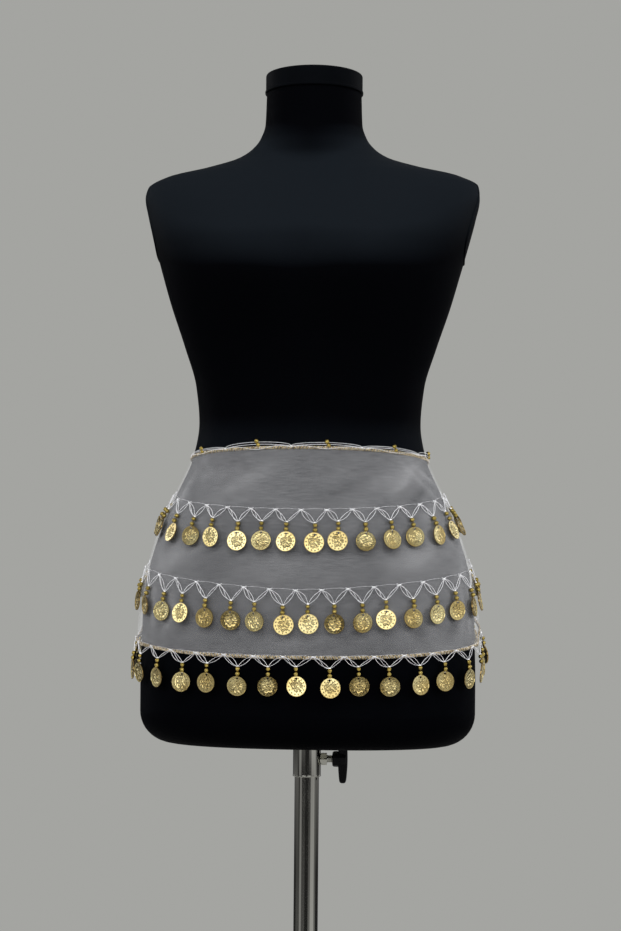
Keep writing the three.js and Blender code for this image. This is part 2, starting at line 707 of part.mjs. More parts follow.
const surface = (color, roughness, metalness) =>
  new THREE.MeshStandardMaterial({ color, roughness, metalness });
const jersey = surface(0x0b0c0e, 0.85, 0);
const capPlastic = surface(0x14151a, 0.4, 0);
const chrome = surface(0xb9bbbd, 0.12, 1);
const blackPlastic = surface(0x0c0c0d, 0.45, 0);
const basePaint = surface(0x1a1b1d, 0.5, 0.2);
const chiffon = surface(0xb9bbc0, 0.9, 0);
const lurex = surface(0xb5a684, 0.55, 0.3);
const gold = surface(0xd8b65a, 0.28, 1);

const part = new THREE.Group();
const stand = new THREE.Group();
const form = new THREE.Group();
const belt = new THREE.Group();
const knob = new THREE.Group();
part.add(stand, form, knob);
form.add(belt);

function add(group, name, geometry, material) {
  const mesh = new THREE.Mesh(geometry, material);
  mesh.name = name;
  group.add(mesh);
}

add(stand, "base_plate", basePlate(), basePaint);
add(stand, "base_collar", baseCollar(), chrome);
add(stand, "pole", pole(), chrome);
add(form, "torso", torso(), jersey);
add(form, "neck_cap", neckCap(), capPlastic);
add(form, "socket_sleeve", socketSleeve(), chrome);
add(form, "clamp_boss", clampBoss(), chrome);
add(knob, "clamp_screw", clampScrew(), chrome);
add(knob, "wing_knob", wingKnob(), blackPlastic);
add(belt, "belt_cloth", beltCloth(), chiffon);
add(belt, "waist_edge_cord", edgeCord(0, 1), lurex);
add(belt, "hem_edge_cord", edgeCord(1, -1), lurex);
add(belt, "waist_bead_chain", waistChain(), gold);
COIN_ROWS.forEach((row, i) => add(belt, ROW_NAMES[i], coinRow(row, i + 1), gold));
add(belt, "back_knot", knot(), chiffon);
add(belt, "tail_left", tail(-1), chiffon);
add(belt, "tail_right", tail(1), chiffon);

export default part;
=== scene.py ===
"""A sheer belly dance belt with rows of hanging coins, tied round a black limbless dress form.

The form slides on a chrome stand. Shapes are worked out in millimetres, as whole arrays, and become metres
when a piece's mesh is made. The front faces -Y. An angle round the form is in degrees from the front,
towards +X.
"""

import bpy
import numpy as np
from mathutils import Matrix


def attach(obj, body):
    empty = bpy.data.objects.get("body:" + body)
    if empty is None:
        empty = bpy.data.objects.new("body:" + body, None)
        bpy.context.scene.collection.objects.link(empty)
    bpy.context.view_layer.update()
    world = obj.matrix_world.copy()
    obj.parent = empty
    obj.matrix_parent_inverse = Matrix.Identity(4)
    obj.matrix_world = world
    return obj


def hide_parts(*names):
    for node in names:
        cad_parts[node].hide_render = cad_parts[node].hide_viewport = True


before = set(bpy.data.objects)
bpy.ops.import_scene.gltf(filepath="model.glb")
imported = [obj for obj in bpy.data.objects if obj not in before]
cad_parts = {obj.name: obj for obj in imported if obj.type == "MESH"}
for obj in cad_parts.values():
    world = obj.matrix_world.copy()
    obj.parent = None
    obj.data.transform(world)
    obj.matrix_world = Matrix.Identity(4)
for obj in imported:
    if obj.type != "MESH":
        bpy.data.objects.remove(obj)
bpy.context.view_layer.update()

MM = 0.001

# ------------ sizes of the form, the cloth and the stand

# z, half width along X, depth to the front, depth to the back, squareness (2 is an ellipse), and how far the
# section is shifted to the back
FORM_SECTIONS = np.array([
    (780, 172.6, 104, 110, 2.4, 0),
    (840, 172.6, 106, 114, 2.4, 0),
    (885, 171.6, 108, 118, 2.35, 0),
    (926, 170.0, 107, 119, 2.3, 0),
    (960, 164.2, 105, 116, 2.25, 0),
    (1000, 151.8, 100, 107, 2.2, 0),
    (1037, 135.4, 94, 96, 2.2, 0),
    (1072, 120.2, 88, 85, 2.2, 0),
    (1108, 114.2, 84, 77, 2.2, 0),
    (1145, 117.5, 86, 77, 2.25, 0),
    (1186, 129.5, 93, 82, 2.35, 1),
    (1228, 143.5, 104, 88, 2.5, 3),
    (1259, 152.4, 110, 92, 2.65, 5),
    (1290, 161.0, 106, 92, 2.75, 8),
    (1321, 169.0, 93, 87, 2.8, 12),
    (1342, 173.0, 80, 79, 2.7, 15),
    (1354, 171.0, 72, 73, 2.5, 17),
    (1364, 155.0, 65, 67, 2.3, 18),
    (1373, 118.0, 60, 62, 2.1, 19),
    (1384, 81.0, 56, 58, 2.0, 20),
    (1394, 65.0, 54, 55, 2.0, 20),
    (1405, 56.0, 52, 52, 2.0, 20),
    (1421, 50.6, 50, 50, 2.0, 20),
    (1452.5, 49.4, 49.4, 49.4, 2.0, 20),
])
FORM_BOTTOM = 780.0
NECK_TOP = 1452.5
BOTTOM_ROUNDING = 32.0
BUST = {"height": 12, "z": 1262, "x": 60, "spread_x": 42, "spread_z": 38}
RECESS = {"radius": 62.0, "depth": 14.0}
BORE = {"radius": 13.8, "top": 1260.0}
NECK_AXIS_Y = 20.0

CLOTH_OUTER = 2.2
CLOTH_MIDDLE = 1.6
CLOTH_WALL = 0.35
# how much painted sheen lightens the cloth towards the sides, from what angle and over how many degrees
PAINTED_SIDE_SHEEN = {"most": 0.75, "from": 26, "over": 50}
CLOTH_END = 170.0
WAIST_EDGE = {"side": 1070, "front_rise": 10, "back_fall": 11}
HEM_EDGE = {"side": 886.7, "front_fall": 12}
# rise, from angle, to angle, power
HEM_LIFTS = [(36, 84, 116, 1.5), (102, 126, 170, 2)]
GATHERS = {"waves": 2, "depth": 4.5, "from": 118}
KNOT_LIFT = {"height": 11.5, "from": 152}
FLARE = {"height": 4, "angle": 114, "spread": 17}
# angle, spread in degrees, the place across where it starts, height
FOLDS = [
    (-84, 4.2, 0.42, 2.2),
    (-70, 3.6, 0.55, 2.4),
    (66, 3.8, 0.58, 2.0),
    (80, 4.0, 0.4, 2.2),
    (-103, 4.6, 0.35, 3.2),
    (101, 4.4, 0.38, 3.2),
]

KNOT = {"z": 1042, "radius": 19, "depth_share": 0.66, "clear": 1.7, "reach": 28.0, "slant": 0.1}
TAIL = {
    "length": 150, "shortened": 0.12, "top_width": 20, "bottom_width": 54, "start": 11.5, "splay": 34,
    "ripple": 2.4, "small_ripple": 0.9, "clear": 6.6, "wall": 1.4,
}

# ------------ arithmetic


def lerp(start, end, share):
    return start + (end - start) * share


def smooth(share):
    """3 t^2 - 2 t^3, held at 0 and 1 outside the range."""
    t = np.clip(share, 0, 1)
    return t * t * (3 - 2 * t)


def bell(value, spread):
    """A Gaussian hump of height 1."""
    return np.exp(-(value**2) / (2 * spread**2))


def wobble(i, seed):
    """A repeatable unevenness from -1 to 1 for the i-th piece of a row."""
    return np.sin(i * 2.39996 + seed * 1.7)


def unit(vectors):
    """The vectors made one long."""
    return vectors / np.maximum(np.linalg.norm(vectors, axis=-1, keepdims=True), 1e-12)


def full_turn(steps):
    """One turn in even steps, in radians, from 0 and without its end."""
    return np.linspace(0, 2 * np.pi, steps, endpoint=False)


def run_along(points, axis=0):
    """The distance along a line of points from its first one, added up."""
    steps = np.diff(points, axis=axis, prepend=np.take(points, [0], axis))
    return np.cumsum(np.linalg.norm(steps, axis=-1), axis=axis)


def through_sections(column):
    """A curve over z through one column of the sections: cubic pieces that never overshoot, because the
    slope at a section is the harmonic mean of its neighbours' slopes, or 0 where those differ in sign."""
    z, value = FORM_SECTIONS[:, 0], FORM_SECTIONS[:, column]
    step = np.diff(z)
    slope = np.diff(value) / step
    before, after = slope[:-1], slope[1:]
    same_way = before * after > 0
    middle = np.where(same_way, 2 * before * after / np.where(same_way, before + after, 1), 0)
    tangent = np.concatenate([slope[:1], middle, slope[-1:]])

    def curve(height):
        at = np.clip(height, z[0], z[-1])
        i = np.clip(np.searchsorted(z, at, side="right") - 1, 0, len(z) - 2)
        t = (at - z[i]) / step[i]
        return (
            value[i] * (1 + 2 * t) * (1 - t) ** 2
            + tangent[i] * step[i] * t * (1 - t) ** 2
            + value[i + 1] * t**2 * (3 - 2 * t)
            + tangent[i + 1] * step[i] * t**2 * (t - 1)
        )

    return curve


half_width_at, front_at, back_at, square_at, shift_at = (through_sections(column) for column in range(1, 6))


def form_point(angle, z, inset=0.0):
    """The form's skin: a superellipse section, x = a |sin|^(2/n) and y = -b |cos|^(2/n), with the bust's two
    soft swells added at the front. inset pulls the section in, as at the underside's rounded edge."""
    angle, z, inset = np.broadcast_arrays(*(np.asarray(v, float) for v in (angle, z, inset)))
    sine, cosine = np.sin(np.radians(angle)), np.cos(np.radians(angle))
    power = 2 / square_at(z)
    x = (half_width_at(z) - inset) * np.sign(sine) * np.abs(sine) ** power
    depth = np.where(cosine > 0, front_at(z), back_at(z)) - inset
    beside = bell(np.abs(x) - BUST["x"], BUST["spread_x"])
    swell = BUST["height"] * beside * bell(z - BUST["z"], BUST["spread_z"]) * np.maximum(0, cosine)
    y = shift_at(z) - depth * np.sign(cosine) * np.abs(cosine) ** power - swell
    return np.stack([x, y, z], axis=-1)


def form_normal(angle, z):
    """The level outward direction of the skin, square to the chord over 0.8 degrees."""
    angle = np.asarray(angle, float)
    along = form_point(angle + 0.4, z) - form_point(angle - 0.4, z)
    return unit(np.stack([along[..., 1], -along[..., 0], np.zeros_like(along[..., 0])], axis=-1))


def off_form(angle, z, distance):
    return form_point(angle, z) + form_normal(angle, z) * np.asarray(distance, float)[..., None]


# ------------ the cloth's surface


def waist_edge(angle):
    cosine = np.cos(np.radians(angle))
    slant = np.where(cosine > 0, WAIST_EDGE["front_rise"], WAIST_EDGE["back_fall"])
    return WAIST_EDGE["side"] + cosine * slant


def hem_edge(angle):
    turn = np.abs(angle)
    height = HEM_EDGE["side"] - HEM_EDGE["front_fall"] * np.maximum(0, np.cos(np.radians(turn)))
    for rise, start, end, power in HEM_LIFTS:
        height = height + rise * np.clip((turn - start) / (end - start), 0, 1) ** power
    return height


def cloth_lift(angle, across, crest=False):
    """How far the cloth stands off the form besides its own gap: the flare behind the hips, the upright
    folds at the hem, the gathers that run to the knot, and the last rise to it. crest takes the gathers'
    tops."""
    level = np.clip(across, 0, 1)
    turn = np.abs(angle)
    lift = FLARE["height"] * bell(turn - FLARE["angle"], FLARE["spread"]) * level**2
    for at, spread, start, height in FOLDS:
        lift = lift + height * smooth((level - start) / (1 - start)) * bell(angle - at, spread)
    share = (turn - GATHERS["from"]) / (CLOTH_END - GATHERS["from"])
    wave = 1.0 if crest else 0.5 - 0.5 * np.cos(2 * np.pi * GATHERS["waves"] * level)
    lift = lift + GATHERS["depth"] * smooth(share) * wave
    return lift + KNOT_LIFT["height"] * smooth((turn - KNOT_LIFT["from"]) / (CLOTH_END - KNOT_LIFT["from"]))


# Soft creases in the cloth. Each runs from one (angle, across) to another, with a width and a height in mm;
# a height below 0 is a trough.
CREASES = [
    ((34, 0.23), (60, 0.05), 3.4, 1.0), ((40, 0.30), (66, 0.13), 3.2, -0.8),
    ((48, 0.34), (70, 0.22), 2.8, 0.8), ((-44, 0.26), (-8, 0.06), 5.0, 0.6),
    ((-62, 0.12), (-40, 0.34), 6.0, -0.6), ((-70, 0.34), (-58, 0.08), 5.0, 0.8),
    ((4, 0.24), (30, 0.12), 4.6, -0.5), ((-30, 0.62), (8, 0.52), 8.0, 0.25),
    ((24, 0.60), (58, 0.44), 8.0, 1.0), ((-66, 0.62), (-40, 0.48), 6.0, 0.7),
    ((-14, 0.96), (16, 0.84), 8.0, 0.5), ((30, 0.96), (40, 0.72), 6.0, 0.7),
    ((-52, 0.98), (-46, 0.70), 6.0, 0.8), ((56, 0.98), (59, 0.60), 5.0, -0.7),
    ((74, 0.55), (92, 0.30), 6.0, 0.9), ((-78, 0.50), (-96, 0.28), 6.0, 0.9),
    ((100, 0.20), (138, 0.42), 7.0, 1.4), ((-98, 0.24), (-140, 0.40), 7.0, 1.4),
    ((108, 0.62), (150, 0.56), 7.0, 1.5), ((-104, 0.66), (-152, 0.60), 7.0, 1.5),
    ((46, 0.02), (74, 0.24), 3.2, 0.9), ((54, 0.03), (84, 0.16), 2.6, 0.8),
    ((28, 0.16), (52, 0.10), 4.4, 0.7), ((62, 0.98), (66, 0.60), 4.5, 0.8),
    ((71, 0.99), (72, 0.52), 4.0, 0.9), ((44, 0.97), (47, 0.74), 6.0, 0.6),
    ((-60, 0.98), (-62, 0.66), 5.0, 0.7), ((-74, 0.99), (-75, 0.58), 4.5, 0.9),
    ((-34, 0.97), (-29, 0.76), 7.0, 0.5), ((124, 0.04), (178, 0.16), 3.6, 1.3),
    ((131, 0.24), (179, 0.30), 3.0, 1.5), ((120, 0.44), (177, 0.46), 4.2, 1.4),
    ((134, 0.62), (180, 0.60), 3.2, 1.6), ((126, 0.84), (178, 0.78), 3.8, 1.4),
    ((-128, 0.06), (-178, 0.12), 3.4, 1.4), ((-122, 0.20), (-179, 0.28), 3.9, 1.3),
    ((-133, 0.40), (-178, 0.43), 3.1, 1.6), ((-125, 0.62), (-180, 0.57), 4.0, 1.4),
    ((-136, 0.86), (-177, 0.76), 3.3, 1.5),
]
MM_PER_DEGREE = 2.35
MM_ACROSS = 207.0
CREASE_BOW = 2.5
DEEPEST_TROUGH = -1.0


def crease_height(angle, across):
    """The creases' heights added up: across its line, which bows a little, each is a Gaussian, and along it
    half a sine to the power 0.8."""
    total = np.zeros(np.broadcast(angle, across).shape)
    for (angle_0, across_0), (angle_1, across_1), width, height in CREASES:
        run_u = (angle_1 - angle_0) * MM_PER_DEGREE
        run_v = (across_1 - across_0) * MM_ACROSS
        length = np.hypot(run_u, run_v)
        u = (angle - angle_0) * MM_PER_DEGREE
        v = (across - across_0) * MM_ACROSS
        along = (u * run_u + v * run_v) / length**2
        aside = (u * run_v - v * run_u) / length + CREASE_BOW * np.sin(np.pi * along)
        total = total + height * bell(aside, width) * np.sin(np.pi * np.clip(along, 0, 1)) ** 0.8
    return np.maximum(total, DEEPEST_TROUGH)


def cloth_height(angle, across):
    return lerp(waist_edge(angle), hem_edge(angle), across)


def cloth_point(angle, across, distance, creased=True):
    lift = cloth_lift(angle, across)
    if creased:
        lift = lift + crease_height(angle, across)
    return off_form(angle, cloth_height(angle, across), distance + lift)


def angle_along(across):
    """The angle at a distance along a line round the belt, measured from the front: the line's length is
    added up in half-degree steps and read the other way round."""
    angles = np.arange(-CLOTH_END, CLOTH_END + 0.1, 0.5)
    lengths = run_along(cloth_point(angles, across, CLOTH_OUTER, creased=False))
    lengths -= np.interp(0, angles, lengths)
    return lambda distance: np.interp(distance, lengths, angles)


def across_at(angle, height):
    """The place across the cloth, from 0 at the waist to 1 at the hem, that lies at a height."""
    return (waist_edge(angle) - height) / (waist_edge(angle) - hem_edge(angle))


def sideways_of(normal):
    """The level direction along the skin, square to the outward one."""
    return np.stack([-normal[..., 1], normal[..., 0], 0 * normal[..., 0]], axis=-1)


def hanging_point(angle, top, z, distance):
    """The spot at height z straight below the cloth's point at the given angle and height top, a distance
    off the cloth. The angle there is found by following the skin sideways until it lies below."""
    angle, top, z = np.broadcast_arrays(*(np.asarray(v, float) for v in (angle, top, z)))
    origin, normal = form_point(angle, top), form_normal(angle, top)
    sideways = sideways_of(normal)
    below = angle.copy()
    for _ in range(6):
        here = form_point(below, z)
        rate = ((form_point(below + 1, z) - here) * sideways).sum(-1)
        below = below - ((here - origin) * sideways).sum(-1) / rate
    out = ((form_point(below, z) - origin) * normal).sum(-1)
    lift = np.maximum(*(cloth_lift(angle, across_at(angle, height), crest=True) for height in (top, z)))
    point = origin + normal * (out + CLOTH_OUTER + lift + distance)[..., None]
    point[..., 2] = z
    return point


# ------------ meshes from arrays


def grid(points, closed="", poles=(None, None)):
    """A surface from rows of points. Where closed names the rows or the columns, the last of them is joined
    to the first, and a pole closes the first or the last row with triangles. Gives the points, the
    four-sided faces and the three-sided ones."""
    rows, columns = points.shape[:2]
    number = np.arange(rows * columns).reshape(rows, columns)
    if "rows" in closed:
        number = np.vstack([number, number[:1]])
    if "columns" in closed:
        number = np.hstack([number, number[:, :1]])
    a, b, c, d = number[:-1, :-1], number[:-1, 1:], number[1:, 1:], number[1:, :-1]
    quads = np.stack([a, b, c, d], axis=-1).reshape(-1, 4)
    all_points, triangles = [points.reshape(-1, 3)], [np.zeros((0, 3), int)]
    count = rows * columns
    for pole, row, flipped in zip(poles, (number[0], number[-1]), (True, False)):
        if pole is None:
            continue
        ends = np.stack([row[:-1], row[1:]], axis=-1)
        ends = ends[:, ::-1] if flipped else ends
        triangles.append(np.column_stack([ends, np.full(len(ends), count)]))
        all_points.append(np.asarray(pole, float).reshape(1, 3))
        count += 1
    return np.vstack(all_points), quads, np.vstack(triangles)


def joined(parts):
    """Several (points, quads, triangles) as one."""
    counts = np.cumsum([0] + [len(points) for points, _, _ in parts])
    return (
        np.vstack([points for points, _, _ in parts]),
        np.vstack([quads + start for (_, quads, _), start in zip(parts, counts)]),
        np.vstack([triangles + start for (_, _, triangles), start in zip(parts, counts)]),
    )


def copies(part, frames, centres):
    """One small shape set at many places: each copy's points are frame @ point + centre. frames holds a 3x3
    matrix for each copy, with the shape's X, Y and Z directions as its columns."""
    points, quads, triangles = part
    placed = np.einsum("kij,nj->kni", frames, points) + centres[:, None, :]
    shift = (np.arange(len(centres)) * len(points))[:, None, None]
    return placed.reshape(-1, 3), (quads + shift).reshape(-1, 4), (triangles + shift).reshape(-1, 3)


def tubes(paths, radius, sides, upward):
    """Threads along many paths at once, paths being (thread, point, xyz). Each point gets a ring of the
    radius, square to the path, turned so that the upward direction keeps its place. The ends are capped
    with four-sided faces, so the number of sides is even."""
    forward = unit(np.gradient(paths, axis=1))
    across = unit(np.cross(forward, upward))
    up = np.cross(across, forward)
    turn = (full_turn(sides) + np.pi / sides)[:, None]
    ring = across[:, :, None] * np.cos(turn) + up[:, :, None] * np.sin(turn)
    points = paths[:, :, None] + ring * radius
    number = np.arange(points.size // 3).reshape(points.shape[:3])
    after = np.roll(number, -1, axis=2)
    quads = np.stack([number[:, :-1], number[:, 1:], after[:, 1:], after[:, :-1]], axis=-1).reshape(-1, 4)
    caps = []
    for k in range(1, sides - 2, 2):
        caps += [number[:, 0, [0, k, k + 1, k + 2]], number[:, -1, [k + 2, k + 1, k, 0]]]
    return points.reshape(-1, 3), np.vstack([quads, *caps]), np.zeros((0, 3), int)


def new_object(name, data):
    made = bpy.data.objects.new(name, data)
    bpy.context.scene.collection.objects.link(made)
    return made


def piece(
    name, part, finishes, body, replaces=(), uv=None, painted_cloth_light=None, face_finish=None, crisp=None
):
    """A Blender object from (points, quads, triangles) in millimetres, riding on a body. A point may carry
    its place on the surface and the cloth's painted light there, and a face the number of its finish. Faces
    are shaded smooth, except over edges where they meet at more than the crisp angle."""
    points, quads, triangles = part
    mesh = bpy.data.meshes.new(name)
    mesh.vertices.add(len(points))
    mesh.vertices.foreach_set("co", (points * MM).astype(np.float32).ravel())
    corners = np.concatenate([quads.ravel(), triangles.ravel()]).astype(np.int32)
    mesh.loops.add(len(corners))
    mesh.loops.foreach_set("vertex_index", corners)
    starts = np.concatenate([np.arange(len(quads)) * 4, len(quads) * 4 + np.arange(len(triangles)) * 3])
    mesh.polygons.add(len(starts))
    mesh.polygons.foreach_set("loop_start", starts.astype(np.int32))
    mesh.polygons.foreach_set("use_smooth", np.ones(len(starts), bool))
    if uv is not None:
        layer = mesh.uv_layers.new(name="surface")
        layer.data.foreach_set("uv", uv[corners].astype(np.float32).ravel())
    if painted_cloth_light is not None:
        # the cloth's painted light of its folds and sides, read by the chiffon's finish
        mesh.attributes.new("painted_cloth_light", "FLOAT", "POINT").data.foreach_set("value", painted_cloth_light.astype(np.float32))
    if face_finish is not None:
        mesh.polygons.foreach_set("material_index", face_finish.astype(np.int32))
    mesh.update(calc_edges=True)
    mesh.validate()
    for material in finishes if isinstance(finishes, list) else [finishes]:
        mesh.materials.append(material)
    if crisp:
        mesh.set_sharp_from_angle(angle=np.radians(crisp))
    made = new_object(name, mesh)
    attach(made, body)
    if replaces:
        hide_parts(*replaces)
    return made


def thin_wall(cloth):
    """Gives a sheet of cloth its thickness, half to each side."""
    wall = cloth.modifiers.new("thin_wall", "SOLIDIFY")
    wall.thickness = CLOTH_WALL * MM
    wall.offset = 0.0


def rounded(corners, radius, steps=5):
    """A profile whose inner corners are replaced by curves that start the radius away from the corner, or
    just under half way to the next corner where that is nearer."""
    corners = np.asarray(corners, float)
    out = [corners[:1]]
    for before, at, after in zip(corners[:-2], corners[1:-1], corners[2:]):
        reach = min(radius, np.linalg.norm(at - before) * 0.45, np.linalg.norm(after - at) * 0.45)
        start, end = at + unit(before - at) * reach, at + unit(after - at) * reach
        t = np.linspace(0, 1, steps)[:, None]
        out.append(start * (1 - t) ** 2 + at * 2 * t * (1 - t) + end * t**2)
    return np.vstack([*out, corners[-1:]])


def turned(profile, sides=96, centre=(0.0, 0.0), closed=False):
    """A profile of (radius, height) turned about +Z. Where it starts or ends on the axis it gets a pole."""
    profile = np.asarray(profile, float)
    poles = [None, None]
    if not closed:
        poles = [(*centre, height) if radius == 0 else None for radius, height in profile[[0, -1]]]
        profile = profile[profile[:, 0] > 0]
    turn = full_turn(sides)
    x = centre[0] + profile[:, :1] * np.cos(turn)
    y = centre[1] + profile[:, :1] * np.sin(turn)
    points = np.stack([x, y, np.broadcast_to(profile[:, 1:], x.shape)], axis=-1)
    return grid(points, "rows and columns" if closed else "columns", poles)


# ------------ finishes


class Amount:
    """A number worked out by shader nodes. It can be added to, taken from, multiplied and divided like a
    plain one, and by() puts it through any other step of a Math node."""

    def __init__(self, tree, socket):
        self.tree = tree
        self.socket = socket

    def by(self, operation, *values):
        return maths(self.tree, operation, self, *values)

    def __add__(self, other):
        return self.by("ADD", other)

    def __sub__(self, other):
        return self.by("SUBTRACT", other)

    def __mul__(self, other):
        return self.by("MULTIPLY", other)

    def __truediv__(self, other):
        return self.by("DIVIDE", other)


def add_node(tree, kind, inputs=None, **settings):
    """A shader node with its settings and inputs; an input that is an Amount or a socket is linked."""
    made = tree.nodes.new("ShaderNode" + kind)
    for key, value in settings.items():
        setattr(made, key, value)
    for key, value in (inputs or {}).items():
        value = value.socket if isinstance(value, Amount) else value
        if isinstance(value, bpy.types.NodeSocket):
            tree.links.new(value, made.inputs[key])
        else:
            made.inputs[key].default_value = value
    return made


def maths(tree, operation, *values):
    return Amount(tree, add_node(tree, "Math", dict(enumerate(values)), operation=operation).outputs[0])


def split(tree, vector):
    """The X, Y and Z of a place or a direction."""
    return [Amount(tree, part) for part in add_node(tree, "SeparateXYZ", {"Vector": vector}).outputs]


def ramp(tree, factor, *stops):
    """A colour ramp from two (place, colour) stops, where a plain number is a grey."""
    made = add_node(tree, "ValToRGB", {"Fac": factor})
    for element, (place, colour) in zip(made.color_ramp.elements, stops):
        element.position = place
        element.color = (*np.broadcast_to(colour, 3), 1)
    return made.outputs["Color"]


def noise(tree, coordinates, scale, detail=3.0, roughness=0.5):
    inputs = {"Vector": coordinates, "Scale": scale, "Detail": detail, "Roughness": roughness}
    return Amount(tree, add_node(tree, "TexNoise", inputs).outputs["Fac"])


def finish(name, **sockets):
    """A new material, its node tree and its shader, with the shader's plain values set."""
    material = bpy.data.materials.new(name)
    material.use_nodes = True
    shader = material.node_tree.nodes["Principled BSDF"]
    for key, value in sockets.items():
        shader.inputs[key.replace("_", " ")].default_value = value
    return material, material.node_tree, shader


def link(tree, output, shader, socket):
    tree.links.new(output, shader.inputs[socket])


def bump(tree, shader, height, strength, distance):
    inputs = {"Height": height, "Strength": strength, "Distance": distance}
    link(tree, add_node(tree, "Bump", inputs).outputs["Normal"], shader, "Normal")


def object_place(tree):
    return add_node(tree, "TexCoord").outputs["Object"]


def surface_place(tree):
    return add_node(tree, "UVMap", uv_map="surface").outputs["UV"]


def weave(tree, place, pitches):
    """Two sets of threads that cross: sine ribs along both directions of the surface, multiplied."""
    ribs = [(part * (2 * np.pi / pitch)).by("SINE") for part, pitch in zip(split(tree, place), pitches)]
    return ribs[0] * ribs[1]


def jersey_finish():
    """Black stretch jersey: fine upright ribs, and painted light: the colour is lighter where the skin faces
    up and on the shoulders' sides, and darker on the neck as painted shade, with a little cloudy unevenness.
    Heights are in metres."""
    material, tree, shader = finish(
        "black_jersey", Roughness=0.6, Sheen_Weight=0.001, Sheen_Roughness=0.35, Specular_IOR_Level=0.008
    )
    coordinates = add_node(tree, "TexCoord").outputs
    facing_x, _, facing_z = split(tree, coordinates["Normal"])
    height = split(tree, coordinates["Object"])[2]

    def above(low, high):
        """0 under the low height, 1 over the high one."""
        inputs = {"Value": height, "From Min": low, "From Max": high}
        return Amount(tree, add_node(tree, "MapRange", inputs).outputs[0])

    # Painted light: what faces up and the shoulders' sides are lighter, and the neck is darker as painted
    # shade.
    shoulders = (above(1.25, 1.32) - above(1.36, 1.42)) * (facing_x.by("ABSOLUTE") * 0.38)
    cloudy = noise(tree, coordinates["Object"], 9, 4) * 0.16
    painted_top_light = facing_z + cloudy + shoulders - above(1.37, 1.43) * 0.3
    colour = ramp(tree, painted_top_light, (0.03, (0.0006, 0.0007, 0.0011)), (0.62, (0.0046, 0.006, 0.0078)))
    link(tree, colour, shader, "Base Color")
    knit = weave(tree, surface_place(tree), (0.0011, 0.0014))
    bump(tree, shader, knit * 0.35 + noise(tree, coordinates["Object"], 260, 2), 0.25, 0.0004)
    return material


def chiffon_finish(name, thinnest, densest):
    """Sheer off-white chiffon: each wall lets most light through. Slubs and a noise drawn out along the belt
    make the cloth denser and lighter, and so do soft clouds of painted sheen and the cloth's painted light,
    which is lighter on fold ridges and darker in their troughs as painted shade; the sheen shows where it
    turns away."""
    sheen = {"Sheen_Weight": 0.9, "Sheen_Roughness": 0.3}
    material, tree, shader = finish(name, Roughness=0.8, Specular_IOR_Level=0.2, **sheen)
    place = surface_place(tree)

    def drawn_out(length_share, turn, scale, detail):
        inputs = {"Vector": place, "Scale": (length_share, 1.0, 1.0), "Rotation": (0, 0, turn)}
        return noise(tree, add_node(tree, "Mapping", inputs).outputs[0], scale, detail, 0.6)

    streaks = drawn_out(0.11, 0.03, 680, 3) * 0.4 + drawn_out(0.16, -0.1, 90, 2) * 0.08
    # Painted light: fold ridges are made lighter and denser and troughs darker; the soft clouds below are
    # painted sheen.
    painted_cloth_light = Amount(tree, add_node(tree, "Attribute", attribute_name="painted_cloth_light").outputs["Fac"])
    density_and_painted_light = streaks + drawn_out(0.5, 0.35, 22, 3) * 0.4 + painted_cloth_light * 0.16
    colour = ramp(tree, density_and_painted_light, (0.25, (0.7, 0.705, 0.725)), (0.71, (0.93, 0.935, 0.95)))
    link(tree, colour, shader, "Base Color")
    link(tree, ramp(tree, density_and_painted_light, (0.25, thinnest), (0.71, densest)), shader, "Alpha")
    bump(tree, shader, streaks, 0.2, 0.0003)
    return material


def thread_finish(name, light, dark, metallic=0.0, roughness=0.55, stops=(0.38, 0.6)):
    """Sewing thread: a fine grain of lighter and darker fibres, also felt as a slight roughness."""
    material, tree, shader = finish(
        name, Metallic=metallic, Roughness=roughness, Sheen_Weight=0.2, Specular_IOR_Level=0.4
    )
    grain = noise(tree, object_place(tree), 520, 3, 0.7)
    link(tree, ramp(tree, grain, (stops[0], dark), (stops[1], light)), shader, "Base Color")
    bump(tree, shader, grain, 0.4, 0.0002)
    return material


# on a coin whose own radius is 1: the ring of dots, a dot, and the bed of scrolls
DOTS = 14
DOT_RING = 0.79
DOT_RADIUS = 0.08
SCROLL_BED = 0.68


